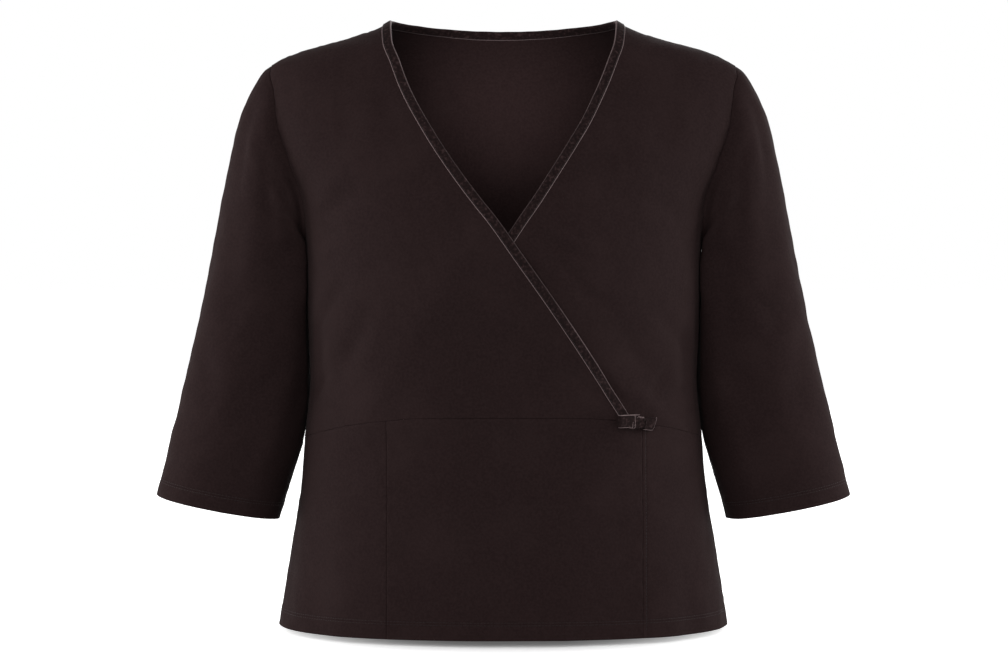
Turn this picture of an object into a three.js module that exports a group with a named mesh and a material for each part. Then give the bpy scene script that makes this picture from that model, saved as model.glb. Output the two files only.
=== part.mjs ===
// A wrap top in plain jersey, worn by nobody: an open shell that keeps the round shape of a general figure.
// The wearer's right front crosses over the left one and ends at a small ribbon bow on the waist seam. Below
// the seam is a peplum of four panels. The sleeves flare to three-quarter length, and a folded velvet ribbon
// binds the whole neck edge.
//
// Millimetres. +X is the wearer's left, +Z is up, and the front looks along -Y. The origin is the middle of
// the neck, level with the two neck points of the shoulder seams, where the wearer's shoulders carry the top.
import * as THREE from "three";

// Cloth and making
const CLOTH = 1;
const RIBBON = 1;
const SEAM = 0.3;
const WAIST_SEAM = 0.5;
const PLY_GAP = 0.7;
const BINDING_WIDTH = 8.4;
const FOLD_GAP = 0.5;
const FOLD_ROUND = 0.75;
const FOLD_BULGE = 0.3;
const HEM_DEPTH = 20;
const HEM_STEP = 0.8;

// Lengths down from the neck point
const NECK_POINT_Z = 0;
const HEM_Z = -630;
const SIDE_WAIST_Z = -435;
const UNDERARM_Z = -240;
const SHOULDER_TIP_Z = -47;

// How deep the armhole's oval reaches in front of and behind the shoulder line
const ARMHOLE_FRONT = 52;
const ARMHOLE_BACK = 60;

// What share of a panel the ribbon covers: a first guess, and the most that it may be. Along a shoulder of
// the back, the row under the ribbon settles at its width by this share of the way to the neck.
const RIBBON_SHARE = { guess: 0.03, most: 0.3, settled: 0.85 };

// The back neck dips this far at its middle
const BACK_NECK_DROP = 8.6;
const BACK_NECK_ROUND = 0.8;

// Steps of the meshes
const SIDE_STEPS = 8;
const ARMHOLE_STEPS = 14;
const FRONT_COLUMNS = 13;
const SHOULDER_COLUMNS = 6;
const BACK_NECK_COLUMNS = 14;
const PEPLUM_ROWS = 6;
const FINE = 120;
const PRESS_ROUNDS = 12;
const HALVINGS = 40;
const WIDTH_ROUNDS = 6;
const LOOP_END_STEPS = 6;
const KNOT_CORNER_STEPS = 3;

// The rows of a bodice panel dip by this share of its height beside an armhole, and the dip fades in over
// the first share of its width. On a front it fades out again towards the neck edge.
const ROW_DIP = 0.022;
const DIP_BESIDE = 0.05;
const DIP_FADES_FROM = 0.7;

// Level sections of the body, from hem to neck point: half its width, the depth of its front and back
// halves, and how square each is, where 2 is an ellipse.
const SECTIONS = [
  { z: HEM_Z, width: 235.7, front: 160, back: 151, power: 2.4 },
  { z: -544, width: 221.5, front: 151, back: 141, power: 2.4 },
  { z: -480, width: 212, front: 146, back: 133, power: 2.35 },
  { z: SIDE_WAIST_Z, width: 208.4, front: 143, back: 126, power: 2.3 },
  { z: -375, width: 203, front: 141, back: 120, power: 2.3 },
  { z: -300, width: 205.5, front: 148, back: 125, power: 2.25 },
  { z: UNDERARM_Z, width: 207.2, front: 151, back: 130, power: 2.2 },
  { z: -190, width: 216, front: 144, back: 131, power: 2.2 },
  { z: -148, width: 236, front: 131, back: 126, power: 2.2 },
  { z: -110, width: 253.5, front: 115, back: 117, power: 2.15 },
  { z: -84, width: 258, front: 97, back: 108, power: 2.1 },
  { z: -63, width: 255.5, front: 81, back: 99, power: 2.1 },
  { z: SHOULDER_TIP_Z, width: 243, front: 71, back: 91, power: 2.05 },
  { z: -32, width: 212.6, front: 63, back: 83, power: 2 },
  { z: -19.4, width: 166.4, front: 58, back: 75, power: 2 },
  { z: -7, width: 131.3, front: 52, back: 66, power: 2 },
  { z: NECK_POINT_Z, width: 119, front: 43, back: 57, power: 2 },
];

// The neck edges of the two fronts as seen from the front, from the waist seam to the neck point.
const OVER_EDGE = [
  { z: -412.4, x: 128.4 },
  { z: -369, x: 102.1 },
  { z: -328.7, x: 76.8 },
  { z: -288.3, x: 49.6 },
  { z: -248, x: 21.4 },
  { z: -208, x: -7.3 },
  { z: -188, x: -22.9 },
  { z: -167.8, x: -38.3 },
  { z: -127.2, x: -66.3 },
  { z: -106.7, x: -78.8 },
  { z: -85.9, x: -90.8 },
  { z: -65, x: -100.5 },
  { z: -43.9, x: -108.4 },
  { z: -22.5, x: -116.7 },
  { z: NECK_POINT_Z, x: -119 },
];
const UNDER_EDGE = [
  { z: -410.3, x: -111.2 },
  { z: -208, x: 15.1 },
  { z: -188, x: 29.1 },
  { z: -167.8, x: 42.2 },
  { z: -127.2, x: 67.9 },
  { z: -106.7, x: 80.2 },
  { z: -85.9, x: 90.7 },
  { z: -65, x: 100.3 },
  { z: -43.9, x: 108.6 },
  { z: -22.5, x: 116.1 },
  { z: NECK_POINT_Z, x: 119 },
];

// The front waist seam rises from the sides to the middle.
const WAIST = [
  { x: 0, z: -407 },
  { x: 85, z: -408 },
  { x: 117, z: -411 },
  { x: 161, z: -418 },
  { x: 188, z: -425.5 },
  { x: 203, z: -431.5 },
  { x: 208.4, z: SIDE_WAIST_Z },
];

// The peplum's panels, by where their seams are seen. A panel that ends at a side seam runs past the body.
const PAST_SIDE = 300;
const PANELS = [
  { name: "peplum_front", start: -118, end: 141, half: -1, columns: 12 },
  { name: "peplum_side_right", start: -PAST_SIDE, end: -118, half: -1, columns: 7 },
  { name: "peplum_side_left", start: 141, end: PAST_SIDE, half: -1, columns: 6 },
  { name: "peplum_back", start: -PAST_SIDE, end: PAST_SIDE, half: 1, columns: 22 },
];

// The over front rises on to what lies under it. These are distances from the under front's edge and, for
// its own ribbon, from its own edge, square to the edges, which slant by this much to each step up.
const EDGE_SLANT = 0.64;
const OVER_RISE = {
  crossing: { from: -62, to: -20 },
  onUnderRibbon: { from: -50, to: -20, leave: 32, left: 62 },
  onOwnRibbon: { leave: 12, left: 36 },
};

// Soft lengthwise folds in the body, by how far round from the middle front they lie.
const BODY_FOLDS = [
  { turn: -63, lean: -5, top: -285, bottom: -425, width: 15, depth: 2.6 },
  { turn: -75, lean: -3, top: -255, bottom: -400, width: 13, depth: 1.8 },
  { turn: 61, lean: 5, top: -270, bottom: -425, width: 15, depth: 2.8 },
  { turn: 74, lean: 4, top: -250, bottom: -415, width: 13, depth: 2 },
  { turn: 112, lean: -4, top: -270, bottom: -450, width: 17, depth: 2.4 },
  { turn: -110, lean: 5, top: -285, bottom: -460, width: 16, depth: 2.4 },
  { turn: 152, lean: -3, top: -300, bottom: -470, width: 19, depth: 2 },
  { turn: -155, lean: 3, top: -310, bottom: -480, width: 18, depth: 2 },
];

// Rings of a sleeve from armhole to cuff: its outermost and innermost points as seen from the front, the
// depth of its front and back halves, and how far behind the shoulder line its middle is.
const SLEEVE = [
  { along: 0, outX: 243, outZ: -47, inX: 207.2, inZ: -240, front: 52, back: 60, y: 0 },
  { along: 0.6, outX: 250, outZ: -52, inX: 208.4, inZ: -238.2, front: 55, back: 61, y: 0.5 },
  { along: 1.4, outX: 258.3, outZ: -63.5, inX: 210.6, inZ: -238.6, front: 58, back: 62, y: 1 },
  { along: 2.2, outX: 266.8, outZ: -79, inX: 211.6, inZ: -241.5, front: 60, back: 63, y: 2 },
  { along: 3, outX: 275, outZ: -98, inX: 211, inZ: -245.5, front: 62, back: 64, y: 3 },
  { along: 3.9, outX: 281.8, outZ: -121, inX: 209, inZ: -251, front: 63, back: 65, y: 5 },
  { along: 4.9, outX: 288, outZ: -149, inX: 206, inZ: -259, front: 64, back: 65, y: 7 },
  { along: 6, outX: 295, outZ: -182, inX: 202, inZ: -272, front: 64, back: 65, y: 9 },
  { along: 7.2, outX: 303, outZ: -222, inX: 199, inZ: -292, front: 63, back: 64, y: 11 },
  { along: 8.5, outX: 311.5, outZ: -264, inX: 197.5, inZ: -320, front: 62, back: 64, y: 13 },
  { along: 9.9, outX: 320.5, outZ: -308.5, inX: 197.5, inZ: -353, front: 62, back: 63, y: 14 },
  { along: 11.4, outX: 331, outZ: -355, inX: 201, inZ: -393, front: 62, back: 62, y: 14 },
  { along: 12.9, outX: 342, outZ: -401, inX: 209.5, inZ: -432, front: 62, back: 62, y: 13 },
  { along: 14.4, outX: 353.5, outZ: -448, inX: 221.5, inZ: -474, front: 62, back: 62, y: 12 },
  { along: 15.2, outX: 360.8, outZ: -477.6, inX: 230.6, inZ: -503, front: 62, back: 62, y: 12 },
  { along: 15.8, outX: 366, outZ: -497, inX: 236.3, inZ: -522.4, front: 62, back: 62, y: 12 },
];
const SLEEVE_POWER = 2.15;

// The armhole's shape fades out of a sleeve by this ring. A sleeve stands this far off the body, from this
// ring on at its top and at its underside.
const SLEEVE_FADE = 7;
const SLEEVE_CLEARANCE = 2.2;
const CLEAR_FROM = { top: 1.6, underside: 0.6 };

// Soft lengthwise folds in the sleeves, right (-1) and left (1): how far round from its top, going forward,
// and from which ring to which.
const SLEEVE_FOLDS = [
  { side: 1, turn: 118, lean: -14, from: 3.2, to: 14.5, width: 17, depth: 3.6 },
  { side: 1, turn: 152, lean: -6, from: 8, to: 15.6, width: 14, depth: 2.6 },
  { side: 1, turn: 62, lean: 10, from: 4.5, to: 12.5, width: 17, depth: 1.8 },
  { side: 1, turn: 238, lean: 14, from: 3.2, to: 13.5, width: 19, depth: 3.4 },
  { side: 1, turn: 292, lean: -12, from: 5.5, to: 14, width: 18, depth: 2 },
  { side: -1, turn: 112, lean: -9, from: 3.4, to: 14, width: 19, depth: 2.8 },
  { side: -1, turn: 149, lean: -5, from: 7.2, to: 15.4, width: 15, depth: 2.2 },
  { side: -1, turn: 57, lean: 8, from: 5, to: 12, width: 18, depth: 1.8 },
  { side: -1, turn: 243, lean: 10, from: 3.6, to: 13, width: 20, depth: 2.6 },
  { side: -1, turn: 297, lean: -9, from: 5, to: 14.4, width: 18, depth: 1.9 },
];

// The bow on the over front's end, and how it is turned to lie on the figure
const BOW = {
  x: 137.5,
  z: -412.6,
  ribbon: 12.8,
  knot: 7.5,
  knotTall: 12.6,
  knotDeep: 6.4,
  loopRight: 24,
  loopLeft: 16.5,
  loopDeep: 5,
  knotCorner: 1.6,
  pinch: 2.8,
  pinchLong: 4,
  tip: -2.5,
  loopRightUp: 1.3,
  loopLeftUp: -1.3,
  turn: 8.6,
  rise: 5.12,
};

// A smooth curve through one column of a table. The rows may rise or fall in the column they are read by.
function through(table, by, column) {
  const rows = [...table].sort((one, other) => one[by] - other[by]);
  const at = rows.map((row) => row[by]);
  const value = rows.map((row) => row[column]);
  const rise = at.slice(1).map((x, i) => (value[i + 1] - value[i]) / (x - at[i]));
  const slope = at.map((_, i) => {
    if (i === 0) return rise[0];
    if (i === at.length - 1) return rise[i - 1];
    if (rise[i - 1] * rise[i] <= 0) return 0;
    const before = at[i] - at[i - 1];
    const after = at[i + 1] - at[i];
    const weight = 3 * (before + after);
    return weight / ((2 * after + before) / rise[i - 1] + (after + 2 * before) / rise[i]);
  });
  return (x) => {
    const inside = THREE.MathUtils.clamp(x, at[0], at[at.length - 1]);
    let i = at.findIndex((start, k) => k > 0 && inside <= start) - 1;
    if (i < 0) i = 0;
    const step = at[i + 1] - at[i];
    const t = (inside - at[i]) / step;
    const blend = t * t * (3 - 2 * t);
    return (
      value[i] * (1 - blend) +
      value[i + 1] * blend +
      step * t * (1 - t) * (slope[i] * (1 - t) - slope[i + 1] * t)
    );
  };
}

const point = (x, y, z) => new THREE.Vector3(x, y, z);
const mix = (a, b, t) => a.clone().lerp(b, t);
const smooth = (from, to, x) => THREE.MathUtils.smoothstep(x, from, to);
const shares = (steps) => Array.from({ length: steps + 1 }, (_, i) => i / steps);

// The body's form

const bodyWidth = through(SECTIONS, "z", "width");
const bodyFront = through(SECTIONS, "z", "front");
const bodyBack = through(SECTIONS, "z", "back");
const bodyPower = through(SECTIONS, "z", "power");
const overEdgeX = through(OVER_EDGE, "z", "x");
const underEdgeX = through(UNDER_EDGE, "z", "x");
const frontWaist = through(WAIST, "x", "z");

// 1 on the form, less inside it and more outside.
function level(p) {
  const depth = p.y < 0 ? bodyFront(p.z) : bodyBack(p.z);
  const power = bodyPower(p.z);
  const sum = Math.abs(p.x / bodyWidth(p.z)) ** power + Math.abs(p.y / depth) ** power;
  return sum ** (1 / power);
}

function gradient(p) {
  const probe = 0.05;
  return point(
    level(point(p.x + probe, p.y, p.z)) - level(point(p.x - probe, p.y, p.z)),
    level(point(p.x, p.y + probe, p.z)) - level(point(p.x, p.y - probe, p.z)),
    level(point(p.x, p.y, p.z + probe)) - level(point(p.x, p.y, p.z - probe)),
  ).divideScalar(2 * probe);
}

const outward = (p) => gradient(p).normalize();

// Moves a point along the form's slope until it lies on the form.
function press(p) {
  const pressed = p.clone();
  for (let i = 0; i < PRESS_ROUNDS; i++) {
    const slope = gradient(pressed);
    pressed.addScaledVector(slope, (1 - level(pressed)) / slope.lengthSq());
  }
  return pressed;
}

// The point of the form's front or back half that is seen at x and z.
function seenAt(x, z, half) {
  const power = bodyPower(z);
  const depth = half < 0 ? bodyFront(z) : bodyBack(z);
  const share = Math.min(1, Math.abs(x) / bodyWidth(z));
  return point(x, half * depth * (1 - share ** power) ** (1 / power), z);
}

const sidePoint = (side, z) => point(side * bodyWidth(z), 0, z);

// The armhole's oval, by angle from the shoulder tip: half -1 goes round the front, 1 round the back.
function armholePoint(side, half, angle) {
  const middle = (SHOULDER_TIP_Z + UNDERARM_Z) / 2;
  const z = middle + ((SHOULDER_TIP_Z - UNDERARM_Z) / 2) * Math.cos(angle);
  const reach = half < 0 ? ARMHOLE_FRONT : ARMHOLE_BACK;
  const y = half * reach * Math.sin(angle);
  const depth = half < 0 ? bodyFront(z) : bodyBack(z);
  const power = bodyPower(z);
  const share = Math.abs(y) / depth;
  return point(side * bodyWidth(z) * (1 - share ** power) ** (1 / power), y, z);
}

// Where the shoulder seam is at a distance x from the middle.
function shoulderPoint(x) {
  let low = SHOULDER_TIP_Z;
  let high = NECK_POINT_Z;
  for (let i = 0; i < HALVINGS; i++) {
    const middle = (low + high) / 2;
    if (bodyWidth(middle) > Math.abs(x)) low = middle;
    else high = middle;
  }
  return point(x, 0, low);
}

function backNeckPoint(share) {
  const x = bodyWidth(NECK_POINT_Z) * (2 * share - 1);
  const dip = Math.cos((Math.PI / 2) * (2 * share - 1));
  return seenAt(x, -BACK_NECK_DROP * Math.max(0, dip) ** BACK_NECK_ROUND, 1);
}

// How far a soft fold lowers the cloth at a point, from where the point is along and across the fold.
const trough = (fold, across, entry) =>
  -fold.depth * Math.exp(-((across / fold.width) ** 2)) * Math.sin(Math.PI * entry) ** 1.5;

function bodyFold(p) {
  const depth = p.y < 0 ? bodyFront(p.z) : bodyBack(p.z);
  const turn = THREE.MathUtils.radToDeg(Math.atan2(p.x / bodyWidth(p.z), -p.y / depth));
  const millimetresPerDegree = 3;
  return BODY_FOLDS.reduce((sum, fold) => {
    const entry = THREE.MathUtils.clamp((fold.top - p.z) / (fold.top - fold.bottom), 0, 1);
    const across = (turn - fold.turn - fold.lean * entry) * millimetresPerDegree;
    return sum + trough(fold, across, entry);
  }, 0);
}

// How far the over front stands off the form: it rides over the under front, over the ribbon on the under
// front's edge, and over the inner half of its own ribbon.
function overLift(p) {
  if (p.y > 0) return 0;
  const { crossing, onUnderRibbon: under, onOwnRibbon: own } = OVER_RISE;
  const square = Math.cos(Math.atan(EDGE_SLANT));
  const pastUnderEdge = (p.x - underEdgeX(p.z)) * square;
  const insideOverEdge = (overEdgeX(p.z) - p.x) * square;
  const crossed = smooth(crossing.from, crossing.to, pastUnderEdge);
  const onUnderRibbon =
    smooth(under.from, under.to, pastUnderEdge) * (1 - smooth(under.leave, under.left, pastUnderEdge));
  const onOwnRibbon = crossed * (1 - smooth(own.leave, own.left, insideOverEdge));
  const ribbonStep = RIBBON + SEAM;
  return (CLOTH + PLY_GAP) * crossed + ribbonStep * (onUnderRibbon + onOwnRibbon);
}

// Meshes

// A closed mesh from points and faces. Points that coincide are joined, faces that they close up are dropped,
// and all faces are turned to point out.
function solid(points, faces) {
  const index = new Map();
  const kept = [];
  const joined = points.map((p) => {
    const key = [p.x, p.y, p.z].map((c) => Math.round(c * 1000)).join();
    if (!index.has(key)) {
      index.set(key, kept.length);
      kept.push(p);
    }
    return index.get(key);
  });
  const triangles = faces
    .flatMap((face) => face.slice(2).map((_, i) => [face[0], face[i + 1], face[i + 2]]))
    .map((triangle) => triangle.map((corner) => joined[corner]))
    .filter(([a, b, c]) => a !== b && b !== c && c !== a);
  const volume = triangles.reduce(
    (sum, [a, b, c]) => sum + kept[a].dot(kept[b].clone().cross(kept[c])),
    0,
  );
  const order = triangles.flatMap((t) => (volume < 0 ? [t[0], t[2], t[1]] : t));
  const geometry = new THREE.BufferGeometry().setFromPoints(kept);
  geometry.setIndex(order);
  geometry.computeVertexNormals();
  return geometry;
}

// A wall between two grids of points of the same size. A ring's last column joins its first.
function wall(outer, inner, { ring = false, mirrored = false } = {}) {
  const rows = outer.length;
  const columns = outer[0].length;
  const last = ring ? columns : columns - 1;
  const points = [...outer.flat(), ...inner.flat()];
  const at = (layer, row, column) => layer * rows * columns + row * columns + (column % columns);
  const faces = [];
  for (let row = 0; row < rows - 1; row++) {
    for (let column = 0; column < last; column++) {
      const leaning = !mirrored || column < last / 2;
      for (const layer of [0, 1]) {
        const corners = [
          at(layer, row, column),
          at(layer, row, column + 1),
          at(layer, row + 1, column + 1),
          at(layer, row + 1, column),
        ];
        if (!leaning) corners.push(corners.shift());
        faces.push(layer ? corners.reverse() : corners);
      }
    }
  }
  // Four corners are split from the first of them, so a reversed face would be split the other way.
  for (const face of faces.filter((_, i) => i % 2)) face.unshift(face.pop());
  const edge = (row, column, nextRow, nextColumn) =>
    faces.push([
      at(0, row, column),
      at(1, row, column),
      at(1, nextRow, nextColumn),
      at(0, nextRow, nextColumn),
    ]);
  for (let column = 0; column < last; column++) {
    edge(0, column, 0, column + 1);
    edge(rows - 1, column + 1, rows - 1, column);
  }
  for (let row = 0; row < rows - 1 && !ring; row++) {
    edge(row + 1, 0, row, 0);
    edge(row, columns - 1, row + 1, columns - 1);
  }
  return solid(points, faces);
}

// A run of sections, each a closed loop of points, open at both ends. Where turned says so, a face is split
// along its other diagonal.
function sweep(sections, turned) {
  const around = sections[0].length;
  const points = sections.flat();
  const faces = [];
  for (let i = 0; i < sections.length - 1; i++) {
    for (let k = 0; k < around; k++) {
      const next = (k + 1) % around;
      const face = [
        i * around + k,
        i * around + next,
        (i + 1) * around + next,
        (i + 1) * around + k,
      ];
      if (turned(i, k)) face.push(face.shift());
      faces.push(face);
    }
  }
  const start = Array.from({ length: around }, (_, k) => k);
  const end = start.map((k) => (sections.length - 1) * around + k);
  return { points, faces, start, end };
}

// A polyline as a function of the share of its length.
function along(points) {
  const run = [0];
  for (let i = 1; i < points.length; i++) run.push(run[i - 1] + points[i].distanceTo(points[i - 1]));
  const total = run[run.length - 1];
  const path = (share) => {
    const goal = THREE.MathUtils.clamp(share, 0, 1) * total;
    let i = run.findIndex((length, k) => k > 0 && length >= goal);
    if (i < 1) i = run.length - 1;
    return mix(points[i - 1], points[i], (goal - run[i - 1]) / (run[i] - run[i - 1]));
  };
  return { path, total };
}

// A patch between four edges, pressed on to the form. Its rows dip beside an armhole, so that they stay
// clear of the armhole's turn at the underarm.
function patch(left, right, bottom, top, bothSides) {
  const corners = [bottom(0), bottom(1), top(0), top(1)];
  return (u, height) => {
    const farSide = bothSides ? smooth(0, DIP_BESIDE, 1 - u) : 1 - smooth(DIP_FADES_FROM, 1, u);
    const v = height - ROW_DIP * smooth(0, DIP_BESIDE, u) * farSide * Math.sin(Math.PI * height);
    const between = mix(bottom(u), top(u), v).add(mix(left(v), right(v), u));
    const twice = mix(mix(corners[0], corners[1], u), mix(corners[2], corners[3], u), v);
    return press(between.sub(twice));
  };
}

const fine = (make) => along(shares(FINE).map(make)).path;

// The side of a bodice panel from the waist seam up to the underarm, then round the armhole to the shoulder
// tip: its points, which the next panel or the sleeve shares, and the share of its length where each lies.
function bodiceSide(side, half) {
  const seam = shares(SIDE_STEPS).map((share) =>
    sidePoint(side, THREE.MathUtils.lerp(SIDE_WAIST_Z + WAIST_SEAM / 2, UNDERARM_Z, share)),
  );
  const armhole = shares(ARMHOLE_STEPS)
    .slice(1)
    .map((share) => armholePoint(side, half, Math.PI * (1 - share)));
  const points = [...seam, ...armhole];
  const { path, total } = along(points);
  let run = 0;
  const stops = points.map((p, i) => {
    run += i ? p.distanceTo(points[i - 1]) : 0;
    return run / total;
  });
  return { path, stops };
}

const halfSeam = (p, half) => p.add(point(0, (half * SEAM) / 2, 0));

// A front: its grid of points on the form, from its side to its neck edge. The last column but one is as far
// from the neck edge as the ribbon is wide.
function frontGrid(side, edgeX, bottomEnd, topEnd) {
  const { path: left, stops } = bodiceSide(side, -1);
  const right = fine((share) => {
    const z = THREE.MathUtils.lerp(bottomEnd.z + WAIST_SEAM / 2, NECK_POINT_Z, share);
    return seenAt(edgeX(z), z, -1);
  });
  const bottom = fine((share) => {
    const x = THREE.MathUtils.lerp(side * bodyWidth(SIDE_WAIST_Z), bottomEnd.x, share);
    return seenAt(x, frontWaist(Math.abs(x)) + WAIST_SEAM / 2, -1);
  });
  const top = fine((share) =>
    shoulderPoint(THREE.MathUtils.lerp(side * bodyWidth(SHOULDER_TIP_Z), topEnd, share)),
  );
  const surface = patch(left, right, bottom, top, false);
  return stops.map((v, row) => {
    const edge = surface(1, v);
    const tangent = surface(1, Math.min(1, v + 0.01)).sub(surface(1, Math.max(0, v - 0.01)));
    tangent.normalize();
    let share = RIBBON_SHARE.guess;
    for (let i = 0; i < WIDTH_ROUNDS; i++) {
      const away = surface(1 - share, v).sub(edge);
      const width = away.addScaledVector(tangent, -away.dot(tangent)).length();
      share = Math.min(RIBBON_SHARE.most, (share * BINDING_WIDTH) / width);
    }
    const columns = shares(FRONT_COLUMNS - 1).map((u) => u * (1 - share));
    return [...columns, 1].map((u, column) => {
      const p = column === 0 ? left(v) : surface(u, v);
      return row === stops.length - 1 || (column === 0 && row <= SIDE_STEPS) ? halfSeam(p, -1) : p;
    });
  });
}

// The two faces of a panel's wall, from its points on the form.
function faces(grid, { lift = () => 0, thickness = () => CLOTH } = {}) {
  const outer = grid.map((row) =>
    row.map((p) => p.clone().addScaledVector(outward(p), lift(p) + bodyFold(p))),
  );
  const inner = grid.map((row, j) =>
    row.map((p, k) => outer[j][k].clone().addScaledVector(outward(p), -thickness(p))),
  );
  return { outer, inner };
}

const overEnd = { x: OVER_EDGE[0].x, z: OVER_EDGE[0].z };
const underEnd = { x: UNDER_EDGE[0].x, z: UNDER_EDGE[0].z };
const overGrid = frontGrid(-1, overEdgeX, overEnd, -bodyWidth(NECK_POINT_Z));
const underGrid = frontGrid(1, underEdgeX, underEnd, bodyWidth(NECK_POINT_Z));
const overWall = faces(overGrid, { lift: overLift });
const underWall = faces(underGrid);

// The back bodice: one piece from side to side, with both shoulders and the back neck along its top.
function backGrid() {
  const { path: left, stops } = bodiceSide(-1, 1);
  const { path: right } = bodiceSide(1, 1);
  const waist = bodyWidth(SIDE_WAIST_Z);
  const z = SIDE_WAIST_Z + WAIST_SEAM / 2;
  const bottom = fine((share) => {
    const angle = Math.PI * share;
    return press(point(-waist * Math.cos(angle), bodyBack(z) * Math.sin(angle), z));
  });
  const tip = bodyWidth(SHOULDER_TIP_Z);
  const neck = bodyWidth(NECK_POINT_Z);
  const shoulder = along(
    shares(FINE).map((share) => shoulderPoint(THREE.MathUtils.lerp(-tip, -neck, share))),
  );
  const neckline = along(shares(FINE).map(backNeckPoint));
  const whole = 2 * shoulder.total + neckline.total;
  const shoulderStops = shares(SHOULDER_COLUMNS - 1).map(
    (share) => (share * (shoulder.total - BINDING_WIDTH)) / whole,
  );
  const neckStops = shares(BACK_NECK_COLUMNS).map(
    (share) => (shoulder.total + share * neckline.total) / whole,
  );
  const columns = [...shoulderStops, ...neckStops, ...shoulderStops.map((s) => 1 - s).reverse()];
  const top = (u) => {
    const run = u * whole;
    if (run < shoulder.total) return shoulder.path(run / shoulder.total);
    if (run <= whole - shoulder.total) return neckline.path((run - shoulder.total) / neckline.total);
    const mirrored = shoulder.path((whole - run) / shoulder.total);
    return mirrored.setX(-mirrored.x);
  };
  const surface = patch(left, right, bottom, top, true);
  const topRow = stops.length - 1;
  return stops.map((v, row) =>
    columns.map((u, column) => {
      const inset = Math.min(column, columns.length - 1 - column) / SHOULDER_COLUMNS;
      let height = v;
      let across = u;
      if (row === topRow - 1) {
        let share = RIBBON_SHARE.guess;
        const edge = surface(u, 1);
        for (let i = 0; i < WIDTH_ROUNDS; i++) {
          share = (share * BINDING_WIDTH) / surface(u, 1 - share).distanceTo(edge);
        }
        height = THREE.MathUtils.lerp(v, 1 - share, smooth(0, RIBBON_SHARE.settled, inset));
        // The ribbon turns the neck's corner at its own width, so the cloth's point there is drawn in.
        const corner = [SHOULDER_COLUMNS, columns.length - 1 - SHOULDER_COLUMNS].find(
          (neck) => Math.abs(column - neck) === 1 && inset < 1,
        );
        if (corner) {
          height = 1 - share * Math.SQRT1_2;
          across = THREE.MathUtils.lerp(columns[corner], u, Math.SQRT1_2);
        }
      }
      const atSide = column === 0 || column === columns.length - 1;
      const p = atSide ? (column ? right : left)(height) : surface(across, height);
      const onSeam = (row === topRow && inset <= 1) || (atSide && row <= SIDE_STEPS);
      return onSeam ? halfSeam(p, 1) : p;
    }),
  );
}

const backPoints = backGrid();
const backWall = faces(backPoints);

// Peplum panels, from the waist seam to a hem that is turned up inside.
const peplumRows = [0, HEM_DEPTH, HEM_DEPTH + HEM_STEP];
const hemThickness = (p) => (p.z < HEM_Z + HEM_DEPTH + HEM_STEP / 2 ? 2 * CLOTH : CLOTH);

function peplum({ start, end, half, columns }) {
  const angleOf = (x, z) => Math.acos(THREE.MathUtils.clamp(x / bodyWidth(z), -1, 1));
  const grid = shares(columns).map((share, column) => {
    const middleZ = (HEM_Z + SIDE_WAIST_Z) / 2;
    const angle = THREE.MathUtils.lerp(angleOf(start, middleZ), angleOf(end, middleZ), share);
    const ends = { 0: start, [columns]: end };
    const fixedX = column in ends && Math.abs(ends[column]) < PAST_SIDE ? ends[column] : null;
    const across = (z) => fixedX ?? bodyWidth(z) * Math.cos(angle);
    const shift = column === 0 ? SEAM / 2 : column === columns ? -SEAM / 2 : 0;
    const topZ = half < 0 ? frontWaist(Math.abs(across(SIDE_WAIST_Z))) : SIDE_WAIST_Z;
    const rows = [
      ...peplumRows.map((rise) => HEM_Z + rise),
      ...shares(PEPLUM_ROWS)
        .slice(1)
        .map((t) => THREE.MathUtils.lerp(HEM_Z + HEM_DEPTH + HEM_STEP, topZ - WAIST_SEAM / 2, t)),
    ];
    return rows.map((z) => {
      const side = Math.abs(across(z)) > bodyWidth(z) - 0.01;
      const p = side ? sidePoint(Math.sign(across(z)), z) : seenAt(across(z), z, half);
      return side ? halfSeam(p, half) : p.add(point(shift, 0, 0));
    });
  });
  const rows = grid[0].map((_, row) => grid.map((column) => column[row]));
  return faces(rows, { thickness: hemThickness });
}

// Sleeves

const ring = Object.fromEntries(
  ["outX", "outZ", "inX", "inZ", "front", "back", "y"].map((key) => [
    key,
    through(SLEEVE, "along", key),
  ]),
);

// A sleeve's plain ring: an oval between its outermost and innermost points. The angle goes from the top
// round the front.
function ovalPoint(side, t, angle) {
  const rounded = (value) => Math.sign(value) * Math.abs(value) ** (2 / SLEEVE_POWER);
  const up = rounded(Math.cos(angle));
  const forward = rounded(Math.sin(angle));
  const outer = point(side * ring.outX(t), 0, ring.outZ(t));
  const inner = point(side * ring.inX(t), 0, ring.inZ(t));
  const p = mix(inner, outer, (1 + up) / 2);
  const reach = forward > 0 ? ring.front(t) : ring.back(t);
  return p.setY(ring.y(t) - reach * forward);
}

function sleeveFold(side, t, angle) {
  const turn = THREE.MathUtils.radToDeg(angle);
  const millimetresPerDegree = 1.1;
  return SLEEVE_FOLDS.filter((fold) => fold.side === side).reduce((sum, fold) => {
    const entry = THREE.MathUtils.clamp((t - fold.from) / (fold.to - fold.from), 0, 1);
    const across = (turn - fold.turn - fold.lean * entry) * millimetresPerDegree;
    return sum + trough(fold, across, entry);
  }, 0);
}

const sleeveStops = SLEEVE.map((row) => row.along);
const cuff = SLEEVE[SLEEVE.length - 1];
const cuffHem = SLEEVE[SLEEVE.length - 2];
const hemRun = Math.hypot(cuff.outX - cuffHem.outX, cuff.outZ - cuffHem.outZ);
const hemStep = (HEM_STEP / hemRun) * (cuff.along - cuffHem.along);
sleeveStops.splice(SLEEVE.length - 2, 0, cuffHem.along - hemStep);

// The point of the armhole's edge at an angle that goes from the shoulder tip round the front.
function armholeEdge(side, angle) {
  const half = Math.sin(angle) >= 0 ? -1 : 1;
  return armholePoint(side, half, angle > Math.PI ? 2 * Math.PI - angle : angle);
}

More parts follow.
